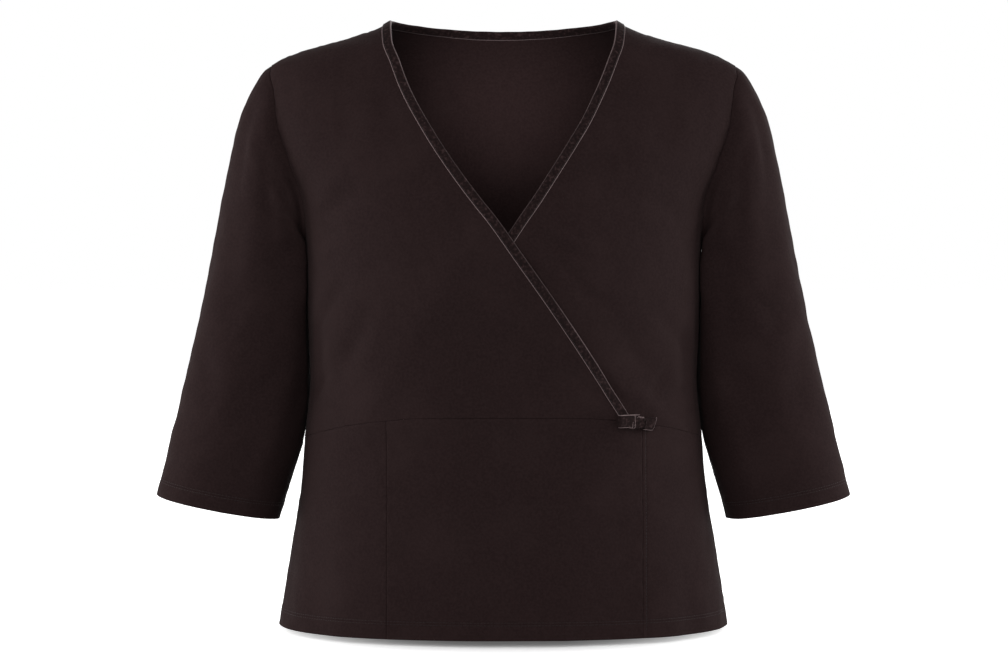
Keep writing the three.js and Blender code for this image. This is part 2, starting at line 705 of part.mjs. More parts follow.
// The way into the armhole from its edge, along the cloth.
function intoArmhole(side, angle) {
  const step = 0.05;
  const edge = armholeEdge(side, angle);
  const alongEdge = armholeEdge(side, angle + step).sub(armholeEdge(side, angle - step));
  const into = alongEdge.cross(outward(edge)).normalize();
  const middle = armholeEdge(side, 0).add(armholeEdge(side, Math.PI)).divideScalar(2);
  return into.dot(middle.sub(edge)) < 0 ? into.negate() : into;
}

// The outer face of a sleeve at a ring: the armhole's own curve at first, and the plain ring further down.
// It leaves its seam away from the body's edge, and wherever it then lies on the body's side it stands just
// clear of it.
function sleevePoint(side, t, angle) {
  const start = armholeEdge(side, angle);
  if (t === 0) return start;
  const fade = 1 - smooth(0, SLEEVE_FADE, t);
  const p = ovalPoint(side, t, angle);
  p.add(start.clone().sub(ovalPoint(side, 0, angle)).multiplyScalar(fade));
  const under = (1 - Math.cos(angle)) / 2;
  if (t < SLEEVE[2].along) {
    const into = intoArmhole(side, angle);
    const overBody = SEAM + CLOTH - p.clone().sub(start).dot(into);
    p.addScaledVector(into, Math.max(0, overBody) * under);
  }
  const clearFrom = THREE.MathUtils.lerp(CLEAR_FROM.top, CLEAR_FROM.underside, under);
  const clearance = SLEEVE_CLEARANCE * smooth(0, clearFrom, t);
  const slope = gradient(p);
  const away = (level(p) - 1) / slope.length();
  return p.addScaledVector(slope.normalize(), Math.max(0, clearance - away));
}

function sleeve(side) {
  const columns = 2 * ARMHOLE_STEPS;
  const angles = Array.from({ length: columns }, (_, k) => (2 * Math.PI * k) / columns);
  const plain = sleeveStops.map((t) => angles.map((angle) => sleevePoint(side, t, angle)));
  const normalAt = (row, column) => {
    const above = plain[Math.max(0, row - 1)][column];
    const below = plain[Math.min(plain.length - 1, row + 1)][column];
    const before = plain[row][(column + columns - 1) % columns];
    const after = plain[row][(column + 1) % columns];
    const across = after.clone().sub(before);
    return below.clone().sub(above).cross(across).normalize().multiplyScalar(-side);
  };
  const normals = plain.map((row, j) =>
    row.map((p, k) => {
      if (j > 1) return normalAt(j, k);
      const bodySide = outward(plain[0][k]);
      return j === 0 ? bodySide : bodySide.add(normalAt(j, k)).normalize();
    }),
  );
  const outer = plain.map((row, j) =>
    row.map((p, k) => {
      const fold = sleeveFold(side, sleeveStops[j], angles[k]);
      const moved = p.clone().addScaledVector(normals[j][k], fold);
      if (j > 0) return moved;
      return moved.addScaledVector(intoArmhole(side, angles[k]), SEAM);
    }),
  );
  const hemFrom = sleeveStops.length - 2;
  const inner = outer.map((row, j) =>
    row.map((p, k) => p.clone().addScaledVector(normals[j][k], j >= hemFrom ? -2 * CLOTH : -CLOTH)),
  );
  return wall(outer, inner, { ring: true });
}

// The neck binding: one ribbon folded over the neck edges, from the bow up the over front, round the back
// neck and down the under front. Each section goes round the edge, from its outer half to its inner half.
function bindingSection(edge, edgeOut, reach, reachOut) {
  const into = reach.clone().sub(edge);
  into.addScaledVector(edgeOut, -into.dot(edgeOut)).normalize();
  const near = (s, h) => edge.clone().addScaledVector(into, s).addScaledVector(edgeOut, h);
  const far = (h) => reach.clone().addScaledVector(reachOut, h);
  const top = SEAM + RIBBON;
  const middle = -CLOTH / 2;
  const fold = FOLD_GAP + RIBBON;
  return [
    far(top),
    near(0, top),
    near(-fold * FOLD_ROUND, (top + middle) / 2 + FOLD_BULGE),
    near(-fold, middle),
    near(-fold * FOLD_ROUND, (middle - CLOTH - top) / 2 - FOLD_BULGE),
    near(0, -CLOTH - top),
    far(-CLOTH - top),
    far(-CLOTH - SEAM),
    near(0, -CLOTH - SEAM),
    near(-FOLD_GAP, middle),
    near(0, SEAM),
    far(SEAM),
  ];
}

function binding() {
  const onFront = (grid, walls) =>
    grid.map((row, j) => {
      const edge = row.length - 1;
      return bindingSection(
        walls.outer[j][edge],
        outward(row[edge]),
        walls.outer[j][edge - 1],
        outward(row[edge - 1]),
      );
    });
  const top = backPoints.length - 1;
  const onBack = (column, reachColumn, reachRow) =>
    bindingSection(
      backWall.outer[top][column],
      outward(backPoints[top][column]),
      backWall.outer[reachRow][reachColumn],
      outward(backPoints[reachRow][reachColumn]),
    );
  const first = SHOULDER_COLUMNS;
  const last = first + BACK_NECK_COLUMNS;
  const round = [onBack(first, first - 1, top - 1)];
  for (let column = first; column <= last; column++) round.push(onBack(column, column, top - 1));
  round.push(onBack(last, last + 1, top - 1));
  const sections = [
    ...onFront(overGrid, overWall),
    ...round,
    ...onFront(underGrid, underWall).reverse(),
  ];
  // The ribbon's faces are split along the same diagonals as the cloth that they lie on.
  const toFold = [true, true, true, false, false, false, true, true, true, false, false, false];
  const half = (sections.length - 1) / 2;
  const { points, faces: sides, start, end } = sweep(sections, (i, k) => toFold[k] !== i < half);
  // Each end is a ring split across the ribbon's fold, from its outer half to its inner half.
  const cap = (loop) => [
    [loop[0], loop[1], loop[10], loop[11]],
    [loop[1], loop[2], loop[3], loop[9], loop[10]],
    [loop[3], loop[4], loop[5], loop[8], loop[9]],
    [loop[5], loop[6], loop[7], loop[8]],
  ];
  const startCap = cap(start).map((face) => face.reverse());
  return solid(points, [...sides, ...startCap, ...cap(end)]);
}

// The bow: two flattened loops of the same ribbon and the turn of ribbon that holds them.

// A loop seen along the ribbon's edge: it leaves the knot pinched and opens to a round end.
function loopShape(length) {
  const outline = (inset) => {
    const pinch = BOW.pinch / 2 - inset;
    const open = BOW.loopDeep / 2 - inset;
    const end = length - inset;
    return [pinch, open, end];
  };
  const shape = new THREE.Shape();
  const [pinch, open, end] = outline(0);
  shape.moveTo(0, -pinch);
  shape.lineTo(BOW.pinchLong, -open);
  shape.lineTo(end - open, -open);
  shape.absarc(end - open, 0, open, -Math.PI / 2, Math.PI / 2, false);
  shape.lineTo(BOW.pinchLong, open);
  shape.lineTo(0, pinch);
  shape.closePath();
  const [holePinch, holeOpen, holeEnd] = outline(RIBBON);
  const hole = new THREE.Path();
  hole.moveTo(RIBBON, holePinch);
  hole.lineTo(BOW.pinchLong, holeOpen);
  hole.lineTo(holeEnd - holeOpen, holeOpen);
  hole.absarc(holeEnd - holeOpen, 0, holeOpen, Math.PI / 2, -Math.PI / 2, true);
  hole.lineTo(BOW.pinchLong, -holeOpen);
  hole.lineTo(RIBBON, -holePinch);
  hole.closePath();
  shape.holes.push(hole);
  return shape;
}

function loop(length) {
  const geometry = new THREE.ExtrudeGeometry(loopShape(length), {
    depth: BOW.ribbon,
    bevelEnabled: false,
    curveSegments: LOOP_END_STEPS,
  });
  return geometry.translate(0, 0, -BOW.ribbon / 2);
}

function knot() {
  const wide = BOW.knot / 2;
  const deep = BOW.knotDeep / 2;
  const corner = BOW.knotCorner;
  const shape = new THREE.Shape();
  shape.moveTo(-wide + corner, -deep);
  shape.lineTo(wide - corner, -deep);
  shape.absarc(wide - corner, -deep + corner, corner, -Math.PI / 2, 0, false);
  shape.lineTo(wide, deep - corner);
  shape.absarc(wide - corner, deep - corner, corner, 0, Math.PI / 2, false);
  shape.lineTo(-wide + corner, deep);
  shape.absarc(-wide + corner, deep - corner, corner, Math.PI / 2, Math.PI, false);
  shape.lineTo(-wide, -deep + corner);
  shape.absarc(-wide + corner, -deep + corner, corner, Math.PI, 1.5 * Math.PI, false);
  const geometry = new THREE.ExtrudeGeometry(shape, {
    depth: BOW.knotTall,
    bevelEnabled: false,
    curveSegments: KNOT_CORNER_STEPS,
  });
  return geometry.translate(0, 0, -BOW.knotTall / 2);
}

// Materials and meshes

const jersey = new THREE.MeshStandardMaterial({ color: 0x2a1e1d, roughness: 0.85, metalness: 0 });
const velvet = new THREE.MeshStandardMaterial({ color: 0x2f2423, roughness: 0.9, metalness: 0 });
const top = new THREE.Group();

function add(name, geometry, material, parent = top) {
  const mesh = new THREE.Mesh(geometry, material);
  mesh.name = name;
  parent.add(mesh);
  return mesh;
}

add("over_front", wall(overWall.outer, overWall.inner), jersey);
add("under_front", wall(underWall.outer, underWall.inner), jersey);
add("back_bodice", wall(backWall.outer, backWall.inner, { mirrored: true }), jersey);
for (const panel of PANELS) {
  const { outer, inner } = peplum(panel);
  add(panel.name, wall(outer, inner), jersey);
}
add("sleeve_right", sleeve(-1), jersey);
add("sleeve_left", sleeve(1), jersey);
add("neck_binding", binding(), velvet);

// The bow's right loop lies on the end of the over front's ribbon, and its left loop on the cloth beyond,
// where it hangs a little lower.
const bowSeat = seenAt(BOW.x, BOW.z, -1);
const bowOut = outward(bowSeat);
const bowGroup = new THREE.Group();
bowGroup.position.copy(bowSeat).addScaledVector(bowOut, BOW.rise);
bowGroup.rotation.order = "ZYX";
bowGroup.rotation.z = Math.atan2(bowOut.x, -bowOut.y) + THREE.MathUtils.degToRad(BOW.turn);
bowGroup.rotation.y = THREE.MathUtils.degToRad(BOW.tip);
top.add(bowGroup);
add("bow_knot", knot(), velvet, bowGroup);
const loopLeft = add("bow_loop_left", loop(BOW.loopLeft), velvet, bowGroup);
loopLeft.position.set(BOW.knot / 2 + SEAM, 0, BOW.loopLeftUp);
const loopRight = add("bow_loop_right", loop(BOW.loopRight), velvet, bowGroup);
loopRight.position.set(-BOW.knot / 2 - SEAM, 0, BOW.loopRightUp);
loopRight.rotation.z = Math.PI;

export default top;
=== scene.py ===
import math

import bpy
import numpy as np
from mathutils import Matrix


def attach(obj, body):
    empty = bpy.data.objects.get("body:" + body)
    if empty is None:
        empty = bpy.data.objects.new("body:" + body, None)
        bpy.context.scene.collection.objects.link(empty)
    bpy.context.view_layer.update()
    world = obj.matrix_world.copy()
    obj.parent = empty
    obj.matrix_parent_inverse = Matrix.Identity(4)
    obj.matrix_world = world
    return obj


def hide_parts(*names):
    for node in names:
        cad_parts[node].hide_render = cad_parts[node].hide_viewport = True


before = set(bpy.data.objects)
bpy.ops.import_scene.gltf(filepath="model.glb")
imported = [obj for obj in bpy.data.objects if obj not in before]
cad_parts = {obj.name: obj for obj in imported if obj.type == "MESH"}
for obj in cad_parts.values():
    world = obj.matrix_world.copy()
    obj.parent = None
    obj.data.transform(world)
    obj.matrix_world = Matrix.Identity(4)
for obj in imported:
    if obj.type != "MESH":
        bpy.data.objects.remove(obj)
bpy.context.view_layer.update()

# The back bodice is one piece of very dark brown jersey from side seam to side seam, with both shoulder
# slopes and a shallow neck cut along its top. It is draped on a general figure, whose form is worked out
# here from level sections, in millimetres, and every other piece of cloth is drawn on the same form.
MM = 0.001
CLOTH = 0.9
SEAM_GAP = 0.02
WAIST_GAP = 0.1
SIDE_WAIST_Z = -435
UNDERARM_Z = -240
SHOULDER_TIP_Z = -47
ARMHOLE_FRONT = 52
ARMHOLE_BACK = 60
BACK_NECK_DROP = 8.6
BACK_NECK_ROUND = 0.8


def table(columns, *rows):
    return [dict(zip(columns.split(), row)) for row in rows]


SECTIONS = table(
    "z width front back power",
    (-630, 235.7, 160, 151, 2.4),
    (-544, 221.5, 151, 141, 2.4),
    (-480, 212, 146, 133, 2.35),
    (SIDE_WAIST_Z, 208.4, 143, 126, 2.3),
    (-375, 203, 141, 120, 2.3),
    (-300, 205.5, 148, 125, 2.25),
    (UNDERARM_Z, 207.2, 151, 130, 2.2),
    (-190, 216, 144, 131, 2.2),
    (-148, 236, 131, 126, 2.2),
    (-110, 253.5, 115, 117, 2.15),
    (-84, 258, 97, 108, 2.1),
    (-63, 255.5, 81, 99, 2.1),
    (SHOULDER_TIP_Z, 243, 71, 91, 2.05),
    (-32, 212.6, 63, 83, 2),
    (-19.4, 166.4, 58, 75, 2),
    (-7, 131.3, 52, 66, 2),
    (0, 119, 43, 57, 2),
)


def curve(rows, by, column):
    """A smooth curve through one column of a table, read by another column."""
    ordered = sorted(rows, key=lambda row: row[by])
    at = np.array([row[by] for row in ordered], float)
    value = np.array([row[column] for row in ordered], float)
    step = np.diff(at)
    rise = np.diff(value) / step
    slope = np.zeros(len(at))
    slope[0] = rise[0]
    slope[-1] = rise[-1]
    for i in range(1, len(at) - 1):
        before, after = rise[i - 1], rise[i]
        if before * after > 0:
            near = (2 * step[i] + step[i - 1]) / before
            far = (step[i] + 2 * step[i - 1]) / after
            slope[i] = 3 * (step[i - 1] + step[i]) / (near + far)

    def read(x):
        inside = np.clip(x, at[0], at[-1])
        i = np.clip(np.searchsorted(at, inside) - 1, 0, len(at) - 2)
        t = (inside - at[i]) / step[i]
        blend = t * t * (3 - 2 * t)
        bow = step[i] * t * (1 - t) * (slope[i] * (1 - t) - slope[i + 1] * t)
        return value[i] * (1 - blend) + value[i + 1] * blend + bow

    return read


body_width = curve(SECTIONS, "z", "width")
body_front = curve(SECTIONS, "z", "front")
body_back = curve(SECTIONS, "z", "back")
body_power = curve(SECTIONS, "z", "power")


def smooth(low, high, x):
    t = np.clip((x - low) / (high - low), 0, 1)
    return t * t * (3 - 2 * t)


def mix(a, b, t):
    return a + (b - a) * np.asarray(t)[..., None]


def points(x, y, z):
    return np.stack(np.broadcast_arrays(x, y, z), axis=-1).astype(float)


def dot(a, b):
    return np.sum(a * b, axis=-1)


def unit(vectors):
    return vectors / np.linalg.norm(vectors, axis=-1, keepdims=True)


def level(p):
    """1 on the form, less inside it and more outside."""
    x, y, z = np.moveaxis(p, -1, 0)
    depth = np.where(y < 0, body_front(z), body_back(z))
    power = body_power(z)
    return (np.abs(x / body_width(z)) ** power + np.abs(y / depth) ** power) ** (1 / power)


def form_slope(p):
    probe = 0.05
    ways = np.eye(3) * probe
    return np.stack([level(p + way) - level(p - way) for way in ways], axis=-1) / (2 * probe)


def outward(p):
    return unit(form_slope(p))


def press(p):
    """Moves points along the form's slope until they lie on the form."""
    for _ in range(12):
        way = form_slope(p)
        p = p + way * ((1 - level(p)) / dot(way, way))[..., None]
    return p


def seen_at(x, z, half):
    """The points of the form's front (-1) or back (1) half that are seen at x and z."""
    power = body_power(z)
    depth = body_front(z) if half < 0 else body_back(z)
    share = np.minimum(1, np.abs(x) / body_width(z))
    return points(x, half * depth * (1 - share**power) ** (1 / power), z)


def armhole_edge(side, angle):
    """The armhole's oval, by angle from the shoulder tip round the front."""
    ahead = np.sin(angle) >= 0
    z = (SHOULDER_TIP_Z + UNDERARM_Z) / 2 + (SHOULDER_TIP_Z - UNDERARM_Z) / 2 * np.cos(angle)
    y = -np.where(ahead, ARMHOLE_FRONT, ARMHOLE_BACK) * np.sin(angle)
    depth = np.where(ahead, body_front(z), body_back(z))
    power = body_power(z)
    return points(side * body_width(z) * (1 - (np.abs(y) / depth) ** power) ** (1 / power), y, z)


def shoulder_point(x):
    heights = np.linspace(0, SHOULDER_TIP_Z, 400)
    return points(x, 0, np.interp(np.abs(x), body_width(heights), heights))


def back_neck_point(share):
    x = body_width(0) * (2 * share - 1)
    dip = np.maximum(0, np.cos(math.pi / 2 * (2 * share - 1)))
    return seen_at(x, -BACK_NECK_DROP * dip**BACK_NECK_ROUND, 1)


def along(line):
    """A line of points as a function of the share of its length, and that length."""
    run = np.concatenate([[0], np.cumsum(np.linalg.norm(np.diff(line, axis=0), axis=1))])

    def path(share):
        goal = np.clip(share, 0, 1) * run[-1]
        return np.stack([np.interp(goal, run, line[:, axis]) for axis in range(3)], axis=-1)

    return path, run[-1]


NEAR_SEAM = np.array([0, 0.35, 0.8, 1.4, 2.3, 3.4, 4.2, 5.0, 6.6])
CLOTH_STEP = 2.6


def cuts(length, start=True, end=True, step=CLOTH_STEP):
    """Shares of a length, closer together beside a seam at its start or end."""
    first = NEAR_SEAM if start else NEAR_SEAM[:1]
    last = length - (NEAR_SEAM if end else NEAR_SEAM[:1])[::-1]
    count = max(2, 1 + round((last[0] - first[-1]) / step))
    middle = np.linspace(first[-1], last[0], count)[1:-1]
    return np.concatenate([first, middle, last]) / length


def bodice_side(side, half):
    """The side of a bodice panel from the waist seam up to the underarm and round the armhole."""
    seam_z = np.linspace(SIDE_WAIST_Z + WAIST_GAP, UNDERARM_Z, 60)
    seam = points(side * body_width(seam_z), 0, seam_z)
    angle = np.linspace(math.pi, 0, 140)[1:]
    oval = armhole_edge(side, angle if half < 0 else -angle)
    side_length = along(seam)[1]
    path, length = along(np.concatenate([seam, oval]))
    oval_length = length - side_length
    stops = np.concatenate(
        [cuts(side_length) * side_length, side_length + cuts(oval_length)[1:] * oval_length]
    )
    return path, stops / length, side_length / length


ROW_DIP = 0.022
DIP_BESIDE = 0.05
DIP_FADES_FROM = 0.7


def patch(left, right, bottom, top, both_sides):
    """A patch between four edges, pressed on to the form. Its rows dip beside an armhole."""
    ends = [bottom(0.0), bottom(1.0), top(0.0), top(1.0)]

    def surface(u, height):
        far = smooth(0, DIP_BESIDE, 1 - u) if both_sides else 1 - smooth(DIP_FADES_FROM, 1, u)
        v = height - ROW_DIP * smooth(0, DIP_BESIDE, u) * far * np.sin(math.pi * height)
        ruled = mix(bottom(u), top(u), v) + mix(left(v), right(v), u)
        twice = mix(mix(ends[0], ends[1], u), mix(ends[2], ends[3], u), v)
        return press(ruled - twice)

    return surface


# Long soft folds in the body, by how many degrees round from the middle front they lie.
BODY_FOLDS = table(
    "turn lean top bottom width depth",
    (-63, -5, -285, -425, 15, 2.6),
    (-75, -3, -255, -400, 13, 1.8),
    (61, 5, -270, -425, 15, 2.8),
    (74, 4, -250, -415, 13, 2),
    (112, -4, -270, -450, 17, 2.4),
    (-110, 5, -285, -460, 16, 2.4),
    (152, -3, -300, -470, 19, 2),
    (-155, 3, -310, -480, 18, 2),
)
BODY_ROUND = 3  # millimetres of cloth to a degree round the body

# Smaller creases, seen from the front or the back, each with a low ridge beside it. The first ones drag
# from the bust to the sides of the waist, then come pulls at the crossing, at the bow and at the armholes.
BODY_CREASES = table(
    "half x z to_x to_z bend width depth ridge",
    (-1, -126, -276, -187, -394, 8, 12, 2.0, 0.45),
    (-1, -148, -250, -199, -334, 6, 9, 1.3, -0.35),
    (-1, -160, -330, -203, -408, 4, 8, 1.0, 0.4),
    (-1, 97, -300, 190, -404, -9, 14, 2.1, -0.4),
    (-1, 136, -282, 199, -356, -6, 11, 1.6, 0.35),
    (-1, 120, -352, 196, -424, -5, 8, 1.1, -0.4),
    (-1, 22, -214, 96, -250, -5, 6, 1.3, 0.5),
    (-1, 34, -232, 92, -292, 4, 6, 1.2, -0.5),
    (-1, 52, -262, 120, -300, -4, 7, 0.9, 0.5),
    (-1, 92, -352, 128, -398, -2, 4, 1.5, 0.4),
    (-1, 152, -408, 192, -376, 3, 6, 1.2, 0.5),
    (-1, 150, -414, 200, -402, 2, 5, 0.9, -0.5),
    (-1, 148, -399, 176, -350, 3, 6, 0.8, 0.4),
    (-1, 118, -396, 58, -350, 5, 8, 0.9, 0.4),
    (-1, -110, -322, 30, -352, 12, 22, 1.5, 0.3),
    (-1, -188, -214, -140, -176, 4, 10, 1.7, 0.4),
    (-1, -194, -232, -150, -218, 3, 8, 1.1, -0.4),
    (-1, 190, -218, 138, -186, -4, 11, 1.8, 0.4),
    (-1, 196, -236, 152, -224, -3, 8, 1.1, -0.4),
    (-1, -166, -66, -158, -140, 4, 13, 1.1, 0.3),
    (-1, 170, -70, 158, -146, -4, 14, 1.1, 0.3),
    (-1, -136, -62, -104, -128, 3, 9, 0.7, 0.4),
    (1, -120, -292, -188, -400, 8, 13, 1.9, 0.4),
    (1, 124, -280, 190, -396, -8, 13, 1.9, -0.4),
    (1, -60, -340, -150, -372, 8, 15, 1.3, 0.3),
    (1, 46, -352, 152, -380, -8, 15, 1.4, 0.3),
    (1, -30, -300, 60, -318, 9, 20, 1.2, 0.3),
    (1, -186, -214, -132, -172, 4, 11, 1.8, 0.4),
    (1, 188, -220, 136, -178, -4, 11, 1.8, -0.4),
    (1, -176, -90, -120, -120, 6, 13, 1.1, 0.3),
    (1, 172, -86, 118, -122, -6, 13, 1.1, 0.3),
    (1, -40, -36, 52, -40, 6, 9, 0.8, 0.4),
)

# Shallow flutes that open from the waist seam down to the hem.
HEM_FLUTES = table(
    "half x to_x width depth ridge",
    (-1, -176, -192, 16, 1.6, 0.7),
    (-1, -74, -86, 26, 1.7, 0.5),
    (-1, 20, 14, 24, 1.1, 0.5),
    (-1, 104, 118, 24, 2.6, 0.6),
    (-1, 172, 190, 15, 1.8, -0.7),
    (1, -168, -186, 18, 2.4, 0.6),
    (1, -84, -98, 26, 2.2, -0.5),
    (1, -6, 4, 24, 1.6, 0.5),
    (1, 92, 104, 26, 2.4, 0.5),
    (1, 166, 184, 18, 2.2, -0.6),
)
HEM_Z = -630
LEFTOVER_WAVE = 0.3
LONG_WAVE = 46
SHORT_WAVE = 21


def turn_of(p):
    """How many degrees round from the middle front a point of the body lies."""
    x, y, z = np.moveaxis(p, -1, 0)
    depth = np.where(y < 0, body_front(z), body_back(z))
    return np.degrees(np.arctan2(x / body_width(z), -y / depth))


def round_from(turn, start):
    """The way round the body from one turn to another, in millimetres of cloth."""
    return ((turn - start + 180) % 360 - 180) * BODY_ROUND


CREASE_DEPTH = 1.5
RIDGE_ASIDE = 1.7
RIPPLE_WAVES = 7
RIPPLE_HEIGHT = 2.6


def furrow(across, width, ridge):
    """The section of a crease: a trough, and a lower ridge on the side that its sign says."""
    lean = across / width
    return -np.exp(-(lean**2)) + abs(ridge) * np.exp(-((lean * np.sign(ridge) - RIDGE_ASIDE) ** 2))


def crease(across, down, to_across, to_down, row):
    """A crease in flat cloth from its start, where across and down are 0, to its end."""
    length = math.hypot(to_across, to_down)
    entry = np.clip((across * to_across + down * to_down) / length**2, 0, 1)
    aside = (across * to_down - down * to_across) / length - row["bend"] * np.sin(math.pi * entry)
    depth = CREASE_DEPTH * row["depth"] * np.sin(math.pi * entry) ** 1.4
    return depth * furrow(aside, row["width"], row["ridge"])


def ripple(p, length, seed):
    """A gentle uneven wave through the cloth, between about -1 and 1."""
    random = np.random.default_rng(seed)
    total = np.zeros(p.shape[:-1])
    for _ in range(RIPPLE_WAVES):
        way = unit(random.normal(size=3))
        wave = 2 * math.pi / (length * random.uniform(0.7, 1.4))
        total += np.sin(wave * (p @ way) + random.uniform(0, 2 * math.pi))
    return total / RIPPLE_HEIGHT


def body_drape(p):
    """How far the folds, creases and flutes move the body's cloth out at points on the form."""
    turn = turn_of(p)
    z = p[..., 2]
    total = LEFTOVER_WAVE * (ripple(p, LONG_WAVE, 3) + 0.5 * ripple(p, SHORT_WAVE, 4))
    for fold in BODY_FOLDS:
        entry = np.clip((fold["top"] - z) / (fold["top"] - fold["bottom"]), 0, 1)
        across = (turn - fold["turn"] - fold["lean"] * entry) * BODY_ROUND
        total -= fold["depth"] * np.exp(-((across / fold["width"]) ** 2)) * np.sin(math.pi * entry) ** 1.5
    for row in BODY_CREASES:
        start = turn_of(seen_at(row["x"], row["z"], row["half"]))
        end = turn_of(seen_at(row["to_x"], row["to_z"], row["half"]))
        to_across = round_from(end, start)
        to_down = row["z"] - row["to_z"]
        total += crease(round_from(turn, start), row["z"] - z, to_across, to_down, row)
    for row in HEM_FLUTES:
        entry = np.clip((SIDE_WAIST_Z - z) / (SIDE_WAIST_Z - HEM_Z), 0, 1)
        start = turn_of(seen_at(row["x"], SIDE_WAIST_Z, row["half"]))
        end = turn_of(seen_at(row["to_x"], HEM_Z, row["half"]))
        across = round_from(turn, start) - round_from(end, start) * entry
        total += row["depth"] * furrow(across, row["width"], row["ridge"]) * smooth(0, 1.1, entry)
    return total


SEAM_ROLL = 0.55
WAIST_ROLL = 0.25
ROLL_WIDTH = 1.3
PUCKER = 0.26
PUCKER_WIDTH = 8
SHORT_PUCKER = 9
LONG_PUCKER = 17


def run_down(grid):
    """How far each point of a grid lies from its first row, along its column."""
    steps = np.linalg.norm(np.diff(grid, axis=0), axis=-1)
    return np.concatenate([np.zeros((1, grid.shape[1])), np.cumsum(steps, axis=0)])


def beside(grid, edges):
    """How far each point lies from the nearest of the named edges of its grid."""
    across = np.swapaxes(grid, 0, 1)
    runs = {
        "first_row": run_down(grid),
        "last_row": run_down(grid[::-1])[::-1],
        "first_column": run_down(across).T,
        "last_column": run_down(across[::-1])[::-1].T,
    }
    return np.min([runs[edge] for edge in edges], axis=0)


def seam_pull(p, to_seam, to_waist):
    """Where cloth turns in to a seam it rolls down, least at the waist, and the stitches pucker it."""
    roll = SEAM_ROLL * np.clip(1 - to_seam / ROLL_WIDTH, 0, 1) ** 2
    waist_roll = WAIST_ROLL * np.clip(1 - to_waist / ROLL_WIDTH, 0, 1) ** 2
    gather = ripple(p, SHORT_PUCKER, 7) + 0.6 * ripple(p, LONG_PUCKER, 8)
    near = 1 - smooth(0, PUCKER_WIDTH, np.minimum(to_seam, to_waist))
    return PUCKER * gather * near - np.maximum(roll, waist_roll)


def body_grain(p):
    """Where each point lies in the flat cloth, in metres."""
    return np.stack([turn_of(p) * BODY_ROUND, p[..., 2]], axis=-1) * MM


def add_piece(name, vertices, faces, grain=None):
    """An object of its own from points in millimetres, its faces and each point's place in the cloth."""
    mesh = bpy.data.meshes.new(name)
    mesh.from_pydata(vertices * MM, [], faces)
    if grain is not None:
        layer = mesh.uv_layers.new(name="grain")
        loops = np.concatenate([np.array(face) for face in faces])
        layer.data.foreach_set("uv", grain[loops].ravel())
    mesh.shade_smooth()
    piece = bpy.data.objects.new(name, mesh)
    bpy.context.scene.collection.objects.link(piece)
    return piece


def shell(name, outer, inner, grain, ring=False):
    """A thin closed shell of cloth between two grids of points, in millimetres."""
    rows, columns = outer.shape[:2]
    last = columns if ring else columns - 1
    row, column = np.meshgrid(np.arange(rows - 1), np.arange(last), indexing="ij")
    beyond = (column + 1) % columns
    this_row = row * columns
    next_row = this_row + columns
    ways = [this_row + column, this_row + beyond, next_row + beyond, next_row + column]
    corners = np.stack(ways, axis=-1).reshape(-1, 4)
    middle = corners[len(corners) // 2 + last // 3]
    flat = outer.reshape(-1, 3)
    facing = np.cross(flat[middle[1]] - flat[middle[0]], flat[middle[3]] - flat[middle[0]])
    if facing @ (flat[middle[0]] - inner.reshape(-1, 3)[middle[0]]) < 0:
        corners = corners[:, ::-1]
    size = rows * columns
    rim = [(np.arange(last), (np.arange(last) + 1) % columns)]
    rim.append((rim[0][1] + (rows - 1) * columns, rim[0][0] + (rows - 1) * columns))
    if not ring:
        down = np.arange(rows - 1) * columns
        rim.append((down + columns, down))
        rim.append((down + columns - 1, down + 2 * columns - 1))
    edges = [np.stack([a, a + size, b + size, b], axis=-1) for a, b in rim]
    # The rim's faces follow the way that the outer face goes round.
    first = {tuple(pair) for pair in corners[:, [0, 1]]} | {tuple(pair) for pair in corners[:, [2, 3]]}
    if (int(rim[0][0][0]), int(rim[0][1][0])) not in first:
        edges = [face[:, ::-1] for face in edges]
    faces = np.concatenate([corners, corners[:, ::-1] + size, *edges])
    vertices = np.concatenate([flat, inner.reshape(-1, 3)])
    return add_piece(name, vertices, faces.tolist(), np.tile(grain.reshape(-1, 2), (2, 1)))


class Shade:
    """One output of a shader node. Sums and products of shades add the Math nodes that work them out."""

    def __init__(self, tree, socket=None):
        self.tree = tree
        self.socket = socket

    def node(self, kind, settings, inputs, output=0):
        """Adds a node. Its settings are set first, then the values or links of its inputs."""
        made = self.tree.nodes.new(kind)
        for name, value in settings.items():
            setattr(made, name, value)
        for name, value in inputs.items():
            if isinstance(value, Shade):
                self.tree.links.new(value.socket, made.inputs[name])
            else:
                made.inputs[name].default_value = value
        return Shade(self.tree, made.outputs[output])

    def math(self, operation, *values):
        return self.node("ShaderNodeMath", {"operation": operation}, dict(enumerate(values)))

    def __add__(self, other):
        return self.math("ADD", self, other)

    __radd__ = __add__

    def __sub__(self, other):
        return self.math("SUBTRACT", self, other)

    def __rsub__(self, other):
        return self.math("SUBTRACT", other, self)

    def __mul__(self, other):
        return self.math("MULTIPLY", self, other)

    __rmul__ = __mul__

    def place(self):
        """Where a point of the piece lies in the top's frame, in metres."""
        return self.node("ShaderNodeTexCoord", {}, {}, output=3)

    def part(self, vector, axis):
        """One number of a vector: 0, 1 or 2 for X, Y or Z."""
        return self.node("ShaderNodeSeparateXYZ", {}, {"Vector": vector}, output=axis)

    def noise(self, place, scale, detail=3):
        inputs = {"Vector": place, "Scale": scale, "Detail": detail}
        return self.node("ShaderNodeTexNoise", {}, inputs)

    def between(self, value, low, high):
        """0 below the low value and 1 above the high one, with a soft step between them."""
        inputs = {"Value": value, "From Min": low, "From Max": high}
        return self.node("ShaderNodeMapRange", {"interpolation_type": "SMOOTHSTEP"}, inputs)

    def blend(self, share, one, other):
        inputs = {0: share, 6: one, 7: other}
        return self.node("ShaderNodeMix", {"data_type": "RGBA"}, inputs, output=2)


